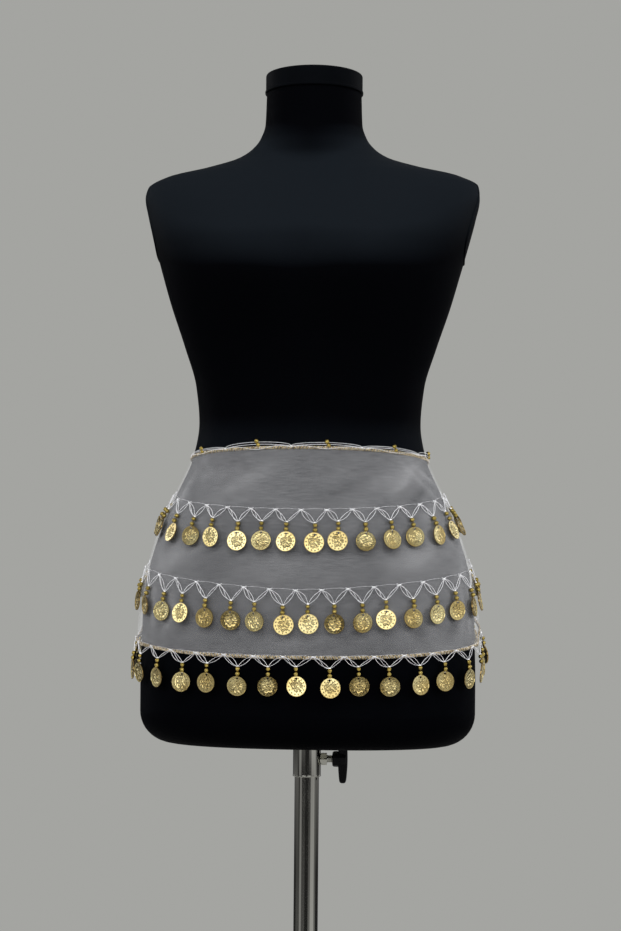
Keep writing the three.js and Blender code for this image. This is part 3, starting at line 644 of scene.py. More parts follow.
def coin_finish():
    """Struck gilt metal. On each coin's own face coordinates, from -1 to 1: a ring of dots near the rim and
    a bed of curling scrolls in the middle. Scrolls and dots are raised and painted browner as shade, the lip
    is painted as a dark brown outline of shade, and the coins differ a little in tone."""
    material, tree, shader = finish("gold_coins", Metallic=1.0)
    place = surface_place(tree)
    x, y, _ = split(tree, place)
    radius = (x * x + y * y).by("SQRT")
    turn = y.by("ARCTAN2", x)

    def near(value, centre, width):
        """1 where the value is at the centre, 0 a width away."""
        away = (value - centre).by("ABSOLUTE")
        return maths(tree, "SUBTRACT", 1.0, away / width).by("MAXIMUM", 0.0)

    # the dots are set half a step off the hole
    step = (turn * (DOTS / (2 * np.pi)) + 0.5).by("FRACT")
    aside = (step - 0.5) * (2 * np.pi * DOT_RING / DOTS)
    inward = radius - DOT_RING
    dots = (near((aside * aside + inward * inward).by("SQRT"), 0.0, DOT_RADIUS) * 1.8).by("MINIMUM", 1.0)

    # scrolls: level lines of a warped noise, kept inside the ring of dots
    warp = noise(tree, place, 2.0, 0) * 21.0
    spiral = warp + (radius * 5.0 + (turn * 3.0).by("SINE") * 1.1)
    curls = spiral.by("SINE") * 0.5 + 0.5
    bed = (near(radius, 0.0, SCROLL_BED) * 4.0).by("MINIMUM", 1.0)
    grain = noise(tree, place, 7, 3) * 0.12
    raised = dots.by("MAXIMUM", curls * bed * 0.75) + grain

    age = noise(tree, object_place(tree), 34, 2)
    worn = ramp(tree, age, (0.35, (0.64, 0.5, 0.2)), (0.65, (0.93, 0.82, 0.42)))
    # painted shade: the raised dots and scrolls, and the lip, are darkened to brown
    painted_relief_shade = (raised * 0.5 + near(radius, 1.0, 0.05)).by("MINIMUM", 1.0)
    mixed = {"Factor": painted_relief_shade, 6: worn, 7: (0.34, 0.22, 0.07, 1)}
    link(tree, add_node(tree, "Mix", mixed, data_type="RGBA").outputs[2], shader, "Base Color")
    link(tree, ramp(tree, age, (0.3, 0.13), (0.7, 0.2)), shader, "Roughness")
    bump(tree, shader, raised, 1.0, 0.0005)
    return material


def bead_finish():
    """Brassy metal beads, a little uneven in tone."""
    material, tree, shader = finish("gold_beads", Metallic=1.0, Roughness=0.17)
    cloudy = noise(tree, object_place(tree), 300, 2)
    colour = ramp(tree, cloudy, (0.3, (0.32, 0.24, 0.045)), (0.7, (0.7, 0.54, 0.17)))
    link(tree, colour, shader, "Base Color")
    return material


def chrome_finish():
    """Plated tube: nearly a mirror, with a trace of upright polishing lines and finger haze."""
    material, tree, shader = finish("chrome", Metallic=1.0, Base_Color=(0.43, 0.425, 0.375, 1))
    place = object_place(tree)
    lines = add_node(tree, "Mapping", {"Vector": place, "Scale": (1.0, 1.0, 0.02)}).outputs[0]
    haze = noise(tree, lines, 900, 2) * 0.3 + noise(tree, place, 22, 4)
    link(tree, ramp(tree, haze, (0.4, 0.05), (0.9, 0.11)), shader, "Roughness")
    return material


def dark_finish(name, colour, roughness, grain, strength, specular=0.5):
    """Black plastic or powder coat: near black, with a grain that breaks up the gloss."""
    material, tree, shader = finish(name, Roughness=roughness, Specular_IOR_Level=specular)
    place = object_place(tree)
    cloud = noise(tree, place, 16, 3)
    light = tuple(channel * 1.7 for channel in colour)
    link(tree, ramp(tree, cloud, (0.3, colour), (0.8, light)), shader, "Base Color")
    uneven = ramp(tree, cloud, (0.2, roughness * 0.85), (0.9, roughness * 1.2))
    link(tree, uneven, shader, "Roughness")
    bump(tree, shader, noise(tree, place, grain, 3, 0.6), strength, 0.0003)
    return material


JERSEY = jersey_finish()
CHIFFON = chiffon_finish("chiffon", 0.041, 0.104)
HANGING_CHIFFON = chiffon_finish("hanging_chiffon", 0.07, 0.19)
BUNCHED_CHIFFON = chiffon_finish("bunched_chiffon", 0.05, 0.3)
WHITE_THREAD = thread_finish("white_thread", (0.82, 0.82, 0.83), (0.5, 0.5, 0.51))
CREAM_THREAD = thread_finish("cream_thread", (0.6, 0.55, 0.47), (0.05, 0.04, 0.025), stops=(0.44, 0.58))
LUREX = thread_finish("gold_lurex", (0.9, 0.7, 0.34), (0.4, 0.27, 0.09), metallic=0.85, roughness=0.3)
GOLD = coin_finish()
BEAD_GOLD = bead_finish()
CHROME = chrome_finish()
CAP_PLASTIC = dark_finish("cap_plastic", (0.001, 0.0012, 0.0016), 0.5, 600, 0.05, specular=0.012)
KNOB_PLASTIC = dark_finish("knob_plastic", (0.0016, 0.0016, 0.0018), 0.4, 900, 0.12, specular=0.08)
POWDER_COAT = dark_finish("powder_coat", (0.018, 0.018, 0.02), 0.5, 1500, 0.35)

# ------------ the dress form


def form_body():
    """The jersey-covered form, as rings from the neck's top down the skin, round the rounded lower edge,
    across the underside to the socket's recess and up the bore. On the underside a ring is blended from the
    section to the recess's circle."""
    angle = np.linspace(0, 360, 200, endpoint=False)
    skin_z = np.concatenate(
        [np.linspace(NECK_TOP, 1378, 24), np.linspace(1376, 1330, 30)[:-1], np.linspace(1330, 812, 120)]
    )
    skin = form_point(angle, skin_z[:, None])
    bend = np.radians(np.linspace(0, 90, 12)[1:, None])
    edge_z = FORM_BOTTOM + BOTTOM_ROUNDING * (1 - np.sin(bend))
    edge = form_point(angle, edge_z, BOTTOM_ROUNDING * (1 - np.cos(bend)))
    circle = np.stack([np.sin(np.radians(angle)), -np.cos(np.radians(angle)), 0 * angle], axis=-1)

    def ring(radius, z):
        return circle * radius + [0, 0, z]

    ceiling = FORM_BOTTOM + RECESS["depth"]
    mouth = ring(RECESS["radius"], FORM_BOTTOM)
    under = lerp(edge[-1], mouth, np.linspace(0, 1, 8)[1:-1, None, None])
    recess, bore = ring(RECESS["radius"], ceiling), ring(BORE["radius"], ceiling)
    inner = np.stack([mouth, recess, bore, ring(BORE["radius"], BORE["top"])])
    rings = np.concatenate([skin, edge, under, inner])
    neck_centre = (0, NECK_AXIS_Y, NECK_TOP)
    part = grid(rings, "columns", [neck_centre, (0, 0, BORE["top"])])
    run = run_along(rings[:, 0])
    around = np.sin(np.radians(angle / 2)) ** 2 * 0.5
    uv = np.stack(np.broadcast_arrays(around, run[:, None] * MM), axis=-1).reshape(-1, 2)
    uv = np.vstack([uv, [[0, 0], [0, run[-1] * MM]]])
    piece("form_body", part, JERSEY, "form", ["torso"], uv=uv, crisp=40)


ARM_PLATE = {
    "z": 1318.0, "half_height": 47.0, "squareness": 4.0, "angle": 92.0, "half_angle": 15.0, "egg": 0.25,
    "off_skin": 0.25, "ridge": 0.9,
}


def arm_plate_seams():
    """The corded seam round each flat arm plate: an oval on the skin's side, followed by a thin tube."""
    turn = np.linspace(0, 2 * np.pi, 121)
    paths, normals = [], []
    for side in (-1, 1):
        z = ARM_PLATE["half_height"] * np.sin(turn) - ARM_PLATE["squareness"] * np.cos(2 * turn)
        z = ARM_PLATE["z"] + z
        swing = ARM_PLATE["half_angle"] * np.cos(turn) * (1 - ARM_PLATE["egg"] * np.sin(turn))
        angle = side * (ARM_PLATE["angle"] + swing)
        paths.append(off_form(angle, z, ARM_PLATE["off_skin"] + 0 * turn))
        normals.append(form_normal(angle, z))
    seams = tubes(np.stack(paths), ARM_PLATE["ridge"], 6, np.stack(normals))
    piece("arm_plate_seams", seams, JERSEY, "form", uv=seams[0][:, [1, 2]] * MM)


# ------------ the stand and its clamp

CAP_FOOT = NECK_TOP + 0.3
FLANGE_TOP = FORM_BOTTOM + RECESS["depth"] - 0.3
# Pieces turned about an upright axis: name, CAD node, finish, slot, body, sides, how far the corners are
# rounded, the crisp angle, and the profile's corners as (radius, height). A profile off the axis is closed.
# The neck's plastic cap is a low disc with a rolled lower rim, a plain side and a soft upper edge.
NECK_CAP = (
    "neck_cap_shell", "neck_cap", CAP_PLASTIC, "cap_plastic", "form", 128, 1.6, 50,
    [(0, CAP_FOOT), (51.2, CAP_FOOT), (51.2, CAP_FOOT + 2.6), (50.4, CAP_FOOT + 3.2),
     (50.4, CAP_FOOT + 19.4), (47.2, CAP_FOOT + 20.8), (0, CAP_FOOT + 22)],
)
# The socket's tube hangs from a flange in the form and has a rolled lower lip.
STAND_PIECES = [
    ("pole_tube", "pole", CHROME, "chrome", "stand", 96, 0, 35,
     [(11.2, 12.3), (12.7, 12.3), (12.7, 1080), (11.2, 1080)]),
    ("base_disc", "base_plate", POWDER_COAT, "base_paint", "stand", 160, 2.2, 50,
     [(0, 0), (160, 0), (160, 9), (157, 12), (60, 12), (0, 12)]),
    ("base_ferrule", "base_collar", CHROME, "chrome", "stand", 96, 1.6, 50,
     [(13, 12.3), (21, 12.3), (21, 20), (17.5, 25), (16.6, 40), (16, 46.3), (13, 46.3)]),
    ("socket_tube", "socket_sleeve", CHROME, "chrome", "form", 96, 0.6, 25,
     [(13.1, 745), (14.7, 745), (14.7, 746.4), (14.5, 746.6), (14.5, 747.3), (14.5, FLANGE_TOP - 3),
      (40, FLANGE_TOP - 3), (40, FLANGE_TOP), (13.1, FLANGE_TOP)]),
]


def turned_piece(name, node, material, slot, body, sides, rounding, crisp, corners, centre=(0.0, 0.0)):
    """One row of the tables above as a piece."""
    closed = corners[0][0] > 0
    profile = corners
    if rounding:
        profile = rounded([*corners, corners[0]], rounding)[:-1] if closed else rounded(corners, rounding)
    piece(name, turned(profile, sides, centre, closed), material, body, [node], crisp=crisp)


CLAMP_Z = 763.0
# the distance to a flat, the inner end's place along X, the sleeve's radius there, and the points round it
NUT = {"flat": 6.1, "start": 14.8, "seat": 15.1, "sides": 48}
# places along the nut from its inner end, and the cone's radius at each
NUT_ALONG = np.array([0, 0, 0.8, 5.2, 6.0, 6.0])
NUT_CONE = np.array([4.6, 6.3, 9, 9, 6.3, 4.6])
SCREW = {"start": 13.0, "length": 21.0, "radius": 3.95, "thread": 0.4, "pitch": 1.5}
HUB = {"start": 34.3, "socket": 4.4, "end": 41.0, "flutes": 12, "flute": 0.035}
BAR = {"x": 37.1, "reach": 25.0, "width": 5.4, "narrowing": 1.5, "thickness": 4.9, "thinning": 1.7}


def round_clamp(x, radius, turn):
    """Points round the clamp's axis, which runs along X, with the turn measured from the top."""
    x, radius, turn = np.broadcast_arrays(x, radius, turn)
    return np.stack([x, radius * np.sin(turn), CLAMP_Z + radius * np.cos(turn)], axis=-1)


def clamp_boss():
    """A six-sided nut: the distance to a flat is a / cos(turn from its middle), held inside a cone at each
    end for the chamfer, and its inner end is hollowed to the sleeve's round."""
    turn = full_turn(NUT["sides"])
    hexagon = NUT["flat"] / np.cos((turn + np.pi / 6) % (np.pi / 3) - np.pi / 6)
    points = round_clamp(NUT["start"] + NUT_ALONG[:, None], np.minimum(hexagon, NUT_CONE[:, None]), turn)
    points[:2, :, 0] = np.sqrt(np.maximum(NUT["seat"] ** 2 - points[:2, :, 1] ** 2, 0)) + 0.1
    nut = grid(points, "rows and columns")
    piece("clamp_nut", nut, CHROME, "form", ["clamp_boss"], crisp=25)


def clamp_screw():
    """A threaded rod along X: the radius follows a saw wave of the turn plus the place along it."""
    along = np.linspace(0, SCREW["length"], 141)[:, None]
    turn = full_turn(24)
    cut = SCREW["thread"] * np.abs(2 * ((along / SCREW["pitch"] - turn / (2 * np.pi)) % 1) - 1)
    taper = np.minimum(1, 0.7 + along / 4)
    points = round_clamp(SCREW["start"] + along, (SCREW["radius"] - cut) * taper, turn)
    ends = [(SCREW["start"] + length, 0, CLAMP_Z) for length in (0, SCREW["length"])]
    rod = grid(points, "columns", ends)
    piece("clamp_threaded_rod", rod, CHROME, "knob", ["clamp_screw"])


def wing_knob():
    """The moulded knob: a fluted hub turned about X, and a wing whose section is a soft-cornered rectangle
    that narrows and rounds off towards both tips."""
    turn = full_turn(96)
    profile = rounded([(4.4, 26.4), (7.2, 26.4), (8.1, 28), (8.2, 36), (7.0, 40.6), (0, 41.0)], 1.2)[:-1]
    flute = 1 - HUB["flute"] * (0.5 + 0.5 * np.cos(HUB["flutes"] * turn))
    socket = round_clamp(HUB["start"], HUB["socket"], turn)
    rings = np.concatenate([socket[None], round_clamp(profile[:, 1:], profile[:, :1] * flute, turn)])
    ends = [(HUB[end], 0, CLAMP_Z) for end in ("start", "end")]
    hub = grid(rings, "columns", ends)
    piece("wing_knob_hub", hub, KNOB_PLASTIC, "knob", ["wing_knob"], crisp=50)

    t = np.sin(np.linspace(-1, 1, 49)[1:-1, None] * np.pi / 2)
    tip = (1 - np.abs(t) ** 30) ** 0.5
    around = full_turn(40)
    sine, cosine = (np.sign(wave) * np.abs(wave) ** 0.45 for wave in (np.sin(around), np.cos(around)))
    y = (BAR["width"] - BAR["narrowing"] * t**2) * tip * sine
    x = (BAR["thickness"] - BAR["thinning"] * t**2) * tip * cosine
    points = np.stack([BAR["x"] + x, y, CLAMP_Z + BAR["reach"] * t + 0 * x], axis=-1)
    tips = [(BAR["x"], 0, CLAMP_Z + side * (BAR["reach"] + 0.05)) for side in (-1, 1)]
    bar = grid(points, "columns", tips)
    piece("wing_knob_bar", bar, KNOB_PLASTIC, "knob")


# ------------ the belt's cloth


def belt_cloth():
    """The strip of chiffon round the hips: the form's skin moved out by the gap, the folds and the creases,
    on a grid of the angle and the place across, given a thin wall. For its finish each point carries painted
    light: the crease's height, as painted light on ridges and painted shade in troughs, and a painted sheen
    that grows from the front to the sides."""
    columns, rows = 561, 61
    angle = np.linspace(-CLOTH_END, CLOTH_END, columns)[::-1]
    across = np.linspace(0, 1, rows)[:, None]
    points = cloth_point(angle, across, CLOTH_MIDDLE)
    run_u, run_v = -run_along(points, 1), run_along(points)
    uv = np.stack([run_u - run_u[:, columns // 2][:, None], run_v], axis=-1).reshape(-1, 2) * MM
    # painted sheen that lightens the cloth from the front towards the sides
    painted_side_sheen = PAINTED_SIDE_SHEEN["most"] * smooth((np.abs(angle) - PAINTED_SIDE_SHEEN["from"]) / PAINTED_SIDE_SHEEN["over"])
    painted_cloth_light = (crease_height(angle, across) + painted_side_sheen).ravel()
    cloth = piece("chiffon_strip", grid(points), CHIFFON, "form", ["belt_cloth"], uv, painted_cloth_light)
    thin_wall(cloth)
    return cloth


# how far one turn of thread runs, its swing across the edge, how far past the edge that swing has its
# middle, its swing off the cloth, and the points for each turn
OVERLOCK = {"pitch": 3.1, "reach": 1.4, "past": 0.5, "rise": 0.8, "steps": 7}
# phase and radius of the cream thread and of the gold one
OVERLOCK_THREADS = [(0.0, 0.6), (np.pi * 0.9, 0.42)]


def overlock(name, lines, replaces=()):
    """The overlocked edge: two threads, cream and gold, wound round the edge line as flattened helices
    nearly half a turn apart. lines is a list of (points, outward directions, directions past the edge)."""
    wound = []
    for phase, radius in OVERLOCK_THREADS:
        for line in lines:
            run = run_along(line[0])
            at = np.linspace(0, run[-1], int(run[-1] / OVERLOCK["pitch"] * OVERLOCK["steps"]))
            middle, out, over = (
                np.stack([np.interp(at, run, values[:, axis]) for axis in range(3)], axis=-1)
                for values in line
            )
            out, over = unit(out), unit(over)
            turn = 2 * np.pi * at / OVERLOCK["pitch"] + phase + 0.5 * np.sin(at * 0.9)
            rise = (OVERLOCK["rise"] * np.cos(turn))[:, None]
            past = (OVERLOCK["past"] + OVERLOCK["reach"] * np.sin(turn))[:, None]
            wound.append(tubes((middle + out * rise + over * past)[None], radius, 4, out[None]))
    part = joined(wound)
    cream_faces = sum(len(quads) for _, quads, _ in wound[: len(lines)])
    gold = (np.arange(len(part[1])) >= cream_faces).astype(int)
    return piece(name, part, [CREAM_THREAD, LUREX], "form", replaces, face_finish=gold)


def cloth_edge(across, side):
    """The cloth's edge as points with their outward and past-the-edge directions."""
    angle = np.linspace(-CLOTH_END, CLOTH_END, 681)
    points = cloth_point(angle, across, CLOTH_MIDDLE)
    outward = form_normal(angle, points[:, 2])
    return points, outward, unit(np.cross(np.gradient(points, axis=0), outward)) * -side


# ------------ coins, beads and threads

COIN = {
    "radius": 10.0, "thickness": 1.2, "rim_inside": 9.5, "rim_height": 0.3, "hole_at": 7.7,
    "hole_radius": 1.15, "standoff": 4.2, "yaw": 10.5, "nod": 6.8, "roll": 7,
}
# the length of a stem with its two beads, their places along it, their radii, and how long a bead is for its
# width
BEAD = {"stem": 9.4, "shares": (0.25, 0.74), "radii": (2.45, 2.55), "flatness": 0.94}
# a stem reaches this far over a V's tip and a coin's edge
STEM_OVERLAP = 0.6
# the part of a row's clearance that is left where the V's tops are sewn down
ANCHOR_SHARE = 0.45
# how much the coins' spacing and drop, the beads' places and sizes, the strands' bows and the chain's rise
# vary
UNEVEN = {"spacing": 1.4, "drop": 0.9, "bead": 0.35, "bead_size": 0.06, "bow": 0.45, "chain": 0.3}
# name, CAD node, place across, rise at the sides and its power, how far the V's tops are sewn under the
# row's line, clearance off the cloth, spacing, the middle coin's place, drop, last angle, seed
COIN_ROWS = [
    ("upper", "coin_row_upper", 0.298, 20.5, 1.0, 0.0, 2.0, 25.2, 12.3, 12.6, 140, 1),
    ("middle", "coin_row_middle", 0.683, 16.7, 0.6, 0.0, 2.5, 25.8, 8.6, 14.4, 130, 2),
    ("hem", "coin_row_hem", 0.985, 0.0, 1.0, 2.8, 2.9, 29.8, -1.0, 13.2, 146, 3),
]
COIN_COLUMNS = 48


def coin_shape():
    """One coin lying in XZ with its face towards -Y and its hole at +Z: rings of points on both faces, a
    flat field inside a thin raised rim. Round the hole a block of two by two faces is left out on both
    faces, its eight points are drawn in to a circle, and the hole's wall joins them."""
    radii = np.array([3.0, 5.2, 6.0, 6.6, 7.7, 8.8, 9.3, 9.55, 9.85])
    heights = COIN["thickness"] / 2 - COIN["rim_height"] * (radii < COIN["rim_inside"])
    turn = full_turn(COIN_COLUMNS)
    x, z = radii[:, None] * np.sin(turn), radii[:, None] * np.cos(turn)
    block = np.ix_([3, 4, 5], [-1, 0, 1])
    aside, above = x[block], z[block] - COIN["hole_at"]
    away = np.hypot(aside, above)
    drawn_in = np.where(away > 0.3, COIN["hole_radius"] / np.maximum(away, 0.3), 1)
    x[block] = aside * drawn_in
    z[block] = COIN["hole_at"] + above * drawn_in
    height = heights[:, None] + 0 * turn
    front = np.stack([x, -height, z], axis=-1)
    back = np.stack([x, height, z], axis=-1)[::-1]
    edge = np.stack([np.sin(turn), 0 * turn, np.cos(turn)], axis=-1)[None] * COIN["radius"]
    rings = np.concatenate([front, edge, back])
    last = len(rings) - 1
    points, quads, triangles = grid(rings, "columns", [(0, -heights[0], 0), (0, heights[0], 0)])

    def number(row, column):
        return row * COIN_COLUMNS + column % COIN_COLUMNS

    kept = ~np.isin(quads, [number(4, 0), number(last - 4, 0)]).any(axis=1)
    row, column = np.transpose([(5, -1), (5, 0), (5, 1), (4, 1), (3, 1), (3, 0), (3, -1), (4, -1)])
    ahead, behind = number(row, column), number(last - row, column)
    wall = np.stack([ahead, np.roll(ahead, -1), np.roll(behind, -1), behind], axis=-1)
    quads = np.vstack([quads[kept], wall])
    used = np.unique(np.concatenate([quads.ravel(), triangles.ravel()]))
    renumber = np.zeros(len(points), int)
    renumber[used] = np.arange(len(used))
    return points[used], renumber[quads], renumber[triangles]


def bead_shape(sides=10, rings=6):
    """A round bead about +Z, one unit in radius, flattened a little at both ends."""
    polar = np.linspace(0, np.pi, rings + 2)[1:-1, None]
    turn = full_turn(sides)
    z = BEAD["flatness"] * np.cos(polar)
    points = np.stack([np.sin(polar) * np.cos(turn), np.sin(polar) * np.sin(turn), z + 0 * turn], axis=-1)
    return grid(points, "columns", [(0, 0, BEAD["flatness"]), (0, 0, -BEAD["flatness"])])


def frames_of(side, out, down):
    """A 3x3 matrix for each place whose X is side, whose -Y is out and whose -Z is down."""
    return np.stack([side, -out, -down], axis=-1)


def beads_at(centres, out, down, size, **detail):
    """A bead at each centre with its ends along down, turned so that one side faces out."""
    side = unit(np.cross(out, down))
    frames = frames_of(side, np.cross(down, side), down) * size[:, None, None]
    return copies(bead_shape(**detail), frames, centres)


def knots_at(centres, out, size):
    """Knots of thread: small upright beads with few sides."""
    return beads_at(centres, out, np.tile([0, 0, -1.0], (len(centres), 1)), size, sides=6, rings=3)


def coin_row(name, node, across, side_rise, power, under, clear, spacing, phase, drop, end, seed):
    """One row: coins at even distances along the belt with a small unevenness, each under two beads at the
    foot of a V of doubled threads."""
    angle_at = angle_along(across)
    index = np.arange(-40, 41)
    angle = angle_at(phase + index * spacing + UNEVEN["spacing"] * wobble(index, seed))
    index, angle = index[np.abs(angle) <= end], angle[np.abs(angle) <= end]

    def row_height(turn):
        rise = side_rise * (1 - np.maximum(0, np.cos(np.radians(turn)))) ** power
        return cloth_height(turn, across) + rise

    top = row_height(angle)
    normal = form_normal(angle, top)
    tip_height = top - drop - UNEVEN["drop"] * wobble(index, seed + 4)
    tips = hanging_point(angle, top, tip_height, clear)
    anchor_angle = angle_at(phase + (np.append(index, index[-1] + 1) - 0.5) * spacing)
    anchor_top = row_height(anchor_angle)
    anchors = hanging_point(anchor_angle, anchor_top, anchor_top - under, clear * ANCHOR_SHARE)

    # each coin hangs down along the cloth, turned a little about all three of its directions
    bead_top = tip_height + STEM_OVERLAP
    coin_top = bead_top - BEAD["stem"]
    coin_high = hanging_point(angle, top, coin_top, COIN["standoff"])
    coin_low = hanging_point(angle, top, coin_top - 2 * COIN["radius"], COIN["standoff"])
    down = unit(coin_low - coin_high)
    straight = sideways_of(normal)
    yaw, nod, roll = (
        np.radians(COIN[turning] * wobble(index * step, seed + shift))[:, None]
        for turning, step, shift in (("yaw", 1, 9), ("nod", 2, 2), ("roll", 5, 6))
    )
    level = straight * np.cos(yaw) + np.cross(down, straight) * np.sin(yaw)
    face = unit(np.cross(level, down))
    face = np.where((face * normal).sum(-1, keepdims=True) < 0, -face, face)
    leaning = unit(down * np.cos(nod) + face * np.sin(nod))
    side = unit(np.cross(face, leaning))
    face = unit(np.cross(leaning, side))
    rolled_down = leaning * np.cos(roll) + side * np.sin(roll)
    rolled_side = side * np.cos(roll) - leaning * np.sin(roll)
    hole = coin_high + down * COIN["radius"] - leaning * COIN["hole_at"]
    shape = coin_shape()
    frames = frames_of(-rolled_side, face, rolled_down)
    coins = copies(shape, frames, hole + rolled_down * COIN["hole_at"])
    uv = np.tile(shape[0][:, [0, 2]] / COIN["radius"], (len(index), 1))
    piece(f"{name}_coins", coins, GOLD, "form", [node], uv=uv, crisp=30)

    # two beads on each stem, a little out of line
    stem_top = hanging_point(angle, top, bead_top, clear)
    stem = coin_high + down * STEM_OVERLAP - stem_top
    twice = np.tile(index, 2)
    middles = np.concatenate([stem_top + stem * share for share in BEAD["shares"]])
    middles = middles + np.tile(straight, (2, 1)) * UNEVEN["bead"] * wobble(twice * 7, seed)[:, None]
    size = np.repeat(BEAD["radii"], len(index)) * (1 + UNEVEN["bead_size"] * wobble(twice, seed + 8))
    beads = beads_at(middles, np.tile(normal, (2, 1)), np.tile(unit(stem), (2, 1)), size)
    piece(f"{name}_beads", beads, BEAD_GOLD, "form")

    loop_ends = (stem_top + stem, hole - leaning * 0.9)
    threads(name, anchors, anchor_angle, row_height, under, tips, normal, seed, loop_ends)


# The strands of a leg that falls to the right and of one that climbs: how far a strand bows to one side, in
# how many half waves, and how far it bows out.
FALLING_LEG = [(2.5, 1, 0.5), (-2.1, 1, 0.6), (1.1, 2, 1.0)]
CLIMBING_LEG = [(1.5, 1, 0.5), (-1.3, 1, 0.65)]
# the stitches on a V's top: slant and half length
STITCHES = [(0.42, 2.9), (-0.46, 2.6), (0.06, 2.2)]
# the threads' radii
THREAD = {"strand": 0.21, "loop": 0.3, "stitch": 0.22, "joining": 0.11, "chain": 0.24}


def threads(name, anchors, anchor_angle, row_height, under, tips, normal, seed, loop_ends):
    """A row's white threads. A leg that falls to the right is a wide leaf of two bowed strands with a third
    that crosses between them, and one that climbs to the right is a narrower pair. Knots and stitches sit on
    the legs' ends, a short loop runs through each coin's hole, and a long thread joins the tops."""
    anchor_normal = form_normal(anchor_angle, row_height(anchor_angle))

    def shares(start, end, count):
        """Evenly spread places along a path, ready to be multiplied by directions."""
        return np.linspace(start, end, count)[None, :, None]

    def wound(path, kind, outward):
        """Tubes along the paths, with the outward direction of each path at all of its points."""
        return tubes(path, THREAD[kind], 4, np.broadcast_to(outward[:, None], path.shape))

    t = shares(0, 1, 11)
    legs = [(anchors[:-1], tips, *strand) for strand in FALLING_LEG]
    legs += [(tips, anchors[1:], *strand) for strand in CLIMBING_LEG]
    strands = []
    for order, (start, end, bow, half_waves, out) in enumerate(legs):
        straight = end - start
        aside = unit(np.cross(normal, unit(straight)))[:, None]
        bend = bow * (1 + UNEVEN["bow"] * wobble(np.arange(len(tips)) * 3, seed + 11 + order))
        path = start[:, None] + straight[:, None] * t
        path = path + aside * np.sin(half_waves * np.pi * t) * bend[:, None, None]
        strands.append(wound(path + normal[:, None] * np.sin(np.pi * t) * out, "strand", normal))

    # the loop through the coin's hole, behind the coin
    t = shares(0, 1, 5)
    path = loop_ends[0][:, None] * (1 - t) + loop_ends[1][:, None] * t
    loops = wound(path - normal[:, None] * np.sin(np.pi * t) * 1.1, "loop", normal)

    # little crossed stitches that hold each top to the cloth
    t = shares(-1, 1, 4)
    level = sideways_of(anchor_normal)
    arch = anchor_normal[:, None] * (0.35 - 1.1 * t**2)
    crosses = []
    for slant, length in STITCHES:
        stitch = (level + [0, 0, slant])[:, None] * t * length
        crosses.append(wound(anchors[:, None] + stitch + arch, "stitch", anchor_normal))

    # knots on the tops and the tips
    lumps = np.concatenate([anchors + anchor_normal * 0.3, tips + [0, 0, 0.3]])
    size = np.repeat([0.95, 1.15], [len(anchors), len(tips)])
    knots = knots_at(lumps, np.concatenate([anchor_normal, normal]), size)

    # the long thread behind the cloth, arched between the tops
    share = np.linspace(0, 1, 13)[:-1]
    line_angle = lerp(anchor_angle[:-1, None], anchor_angle[1:, None], share).ravel()
    line_angle = np.append(line_angle, anchor_angle[-1])
    arch = np.append(np.tile(1.3 * np.sin(np.pi * share) ** 0.7, len(anchor_angle) - 1), 0)
    line_across = across_at(line_angle, row_height(line_angle) - under + arch)
    line = cloth_point(line_angle, line_across, CLOTH_MIDDLE - 0.5)
    joining = tubes(line[None], THREAD["joining"], 4, form_normal(line_angle, line[:, 2])[None])
    part = joined([*strands, loops, *crosses, knots, joining])
    piece(f"{name}_threads", part, WHITE_THREAD, "form")


CHAIN = {"spacing": 71, "phase": -11.5, "over_edge": 1.9, "rise": 3.8, "dip": -1.1, "wave": 1.5, "end": 132}
CHAIN_BEADS = {"lifts": (1.0, -2.6), "radii": (2.5, 2.3)}


def waist_chain():
    """The thread chain on the waist edge. Between two knots an upper strand rises over the edge as a
    flat-topped arch with two beads at its middle, a second strand rises half as far, and a third follows the
    edge in three shallow half waves."""
    angle_at = angle_along(0)
    starts = CHAIN["phase"] + np.arange(-5, 5) * CHAIN["spacing"]
    starts = starts[np.abs(angle_at(starts + CHAIN["spacing"] / 2)) < CHAIN["end"]]
    share = np.linspace(0, 1, 41)
    angle = angle_at(starts[:, None] + share * CHAIN["spacing"])

    def strand(rise, out=0.0):
        points = cloth_point(angle, 0 * angle, CLOTH_MIDDLE + out)
        points[..., 2] = waist_edge(angle) + CHAIN["over_edge"] + rise
        return points

    uneven = (1 + UNEVEN["chain"] * wobble(np.arange(len(starts)), 5))[:, None]
    rise = CHAIN["rise"] * uneven
    upper = strand(rise * np.sin(np.pi * share) ** 0.35)
    lower = strand(CHAIN["dip"] + CHAIN["wave"] * np.sin(3 * np.pi * share) * uneven, 0.9)
    second = strand(0.5 * rise * np.sin(np.pi * share) ** 0.8, 0.5)
    outward = form_normal(angle, waist_edge(angle))
    strands = [tubes(path, THREAD["chain"], 4, outward) for path in (upper, lower, second)]
    knot_at, knot_out = (np.concatenate([ends[:, 0], ends[-1:, -1]]) for ends in (upper, outward))
    knots = knots_at(knot_at, knot_out, np.full(len(knot_at), 1.1))
    part = joined([*strands, knots])
    piece("waist_threads", part, WHITE_THREAD, "form", ["waist_bead_chain"])
    middle = np.concatenate([upper[:, 20 + i] + [0, 0, lift] for i, lift in enumerate(CHAIN_BEADS["lifts"])])
    level = np.tile(unit(np.gradient(upper, axis=1)[:, 20]), (2, 1))
    out = np.tile(outward[:, 20], (2, 1))
    size = np.repeat(CHAIN_BEADS["radii"], len(starts))[:, None, None]
    beads = copies(bead_shape(), frames_of(out, unit(np.cross(level, out)), level) * size, middle)
    piece("waist_beads", beads, BEAD_GOLD, "form")


# ------------ the knot and the hanging ends

# the knot's radius from its middle to an end, against the share of the way
KNOT_OUTLINE = [(0, 19), (0.16, 18.8), (0.27, 17.0), (0.36, 13.6), (0.6, 15.0), (0.85, 16.4), (1.0, 16.9)]


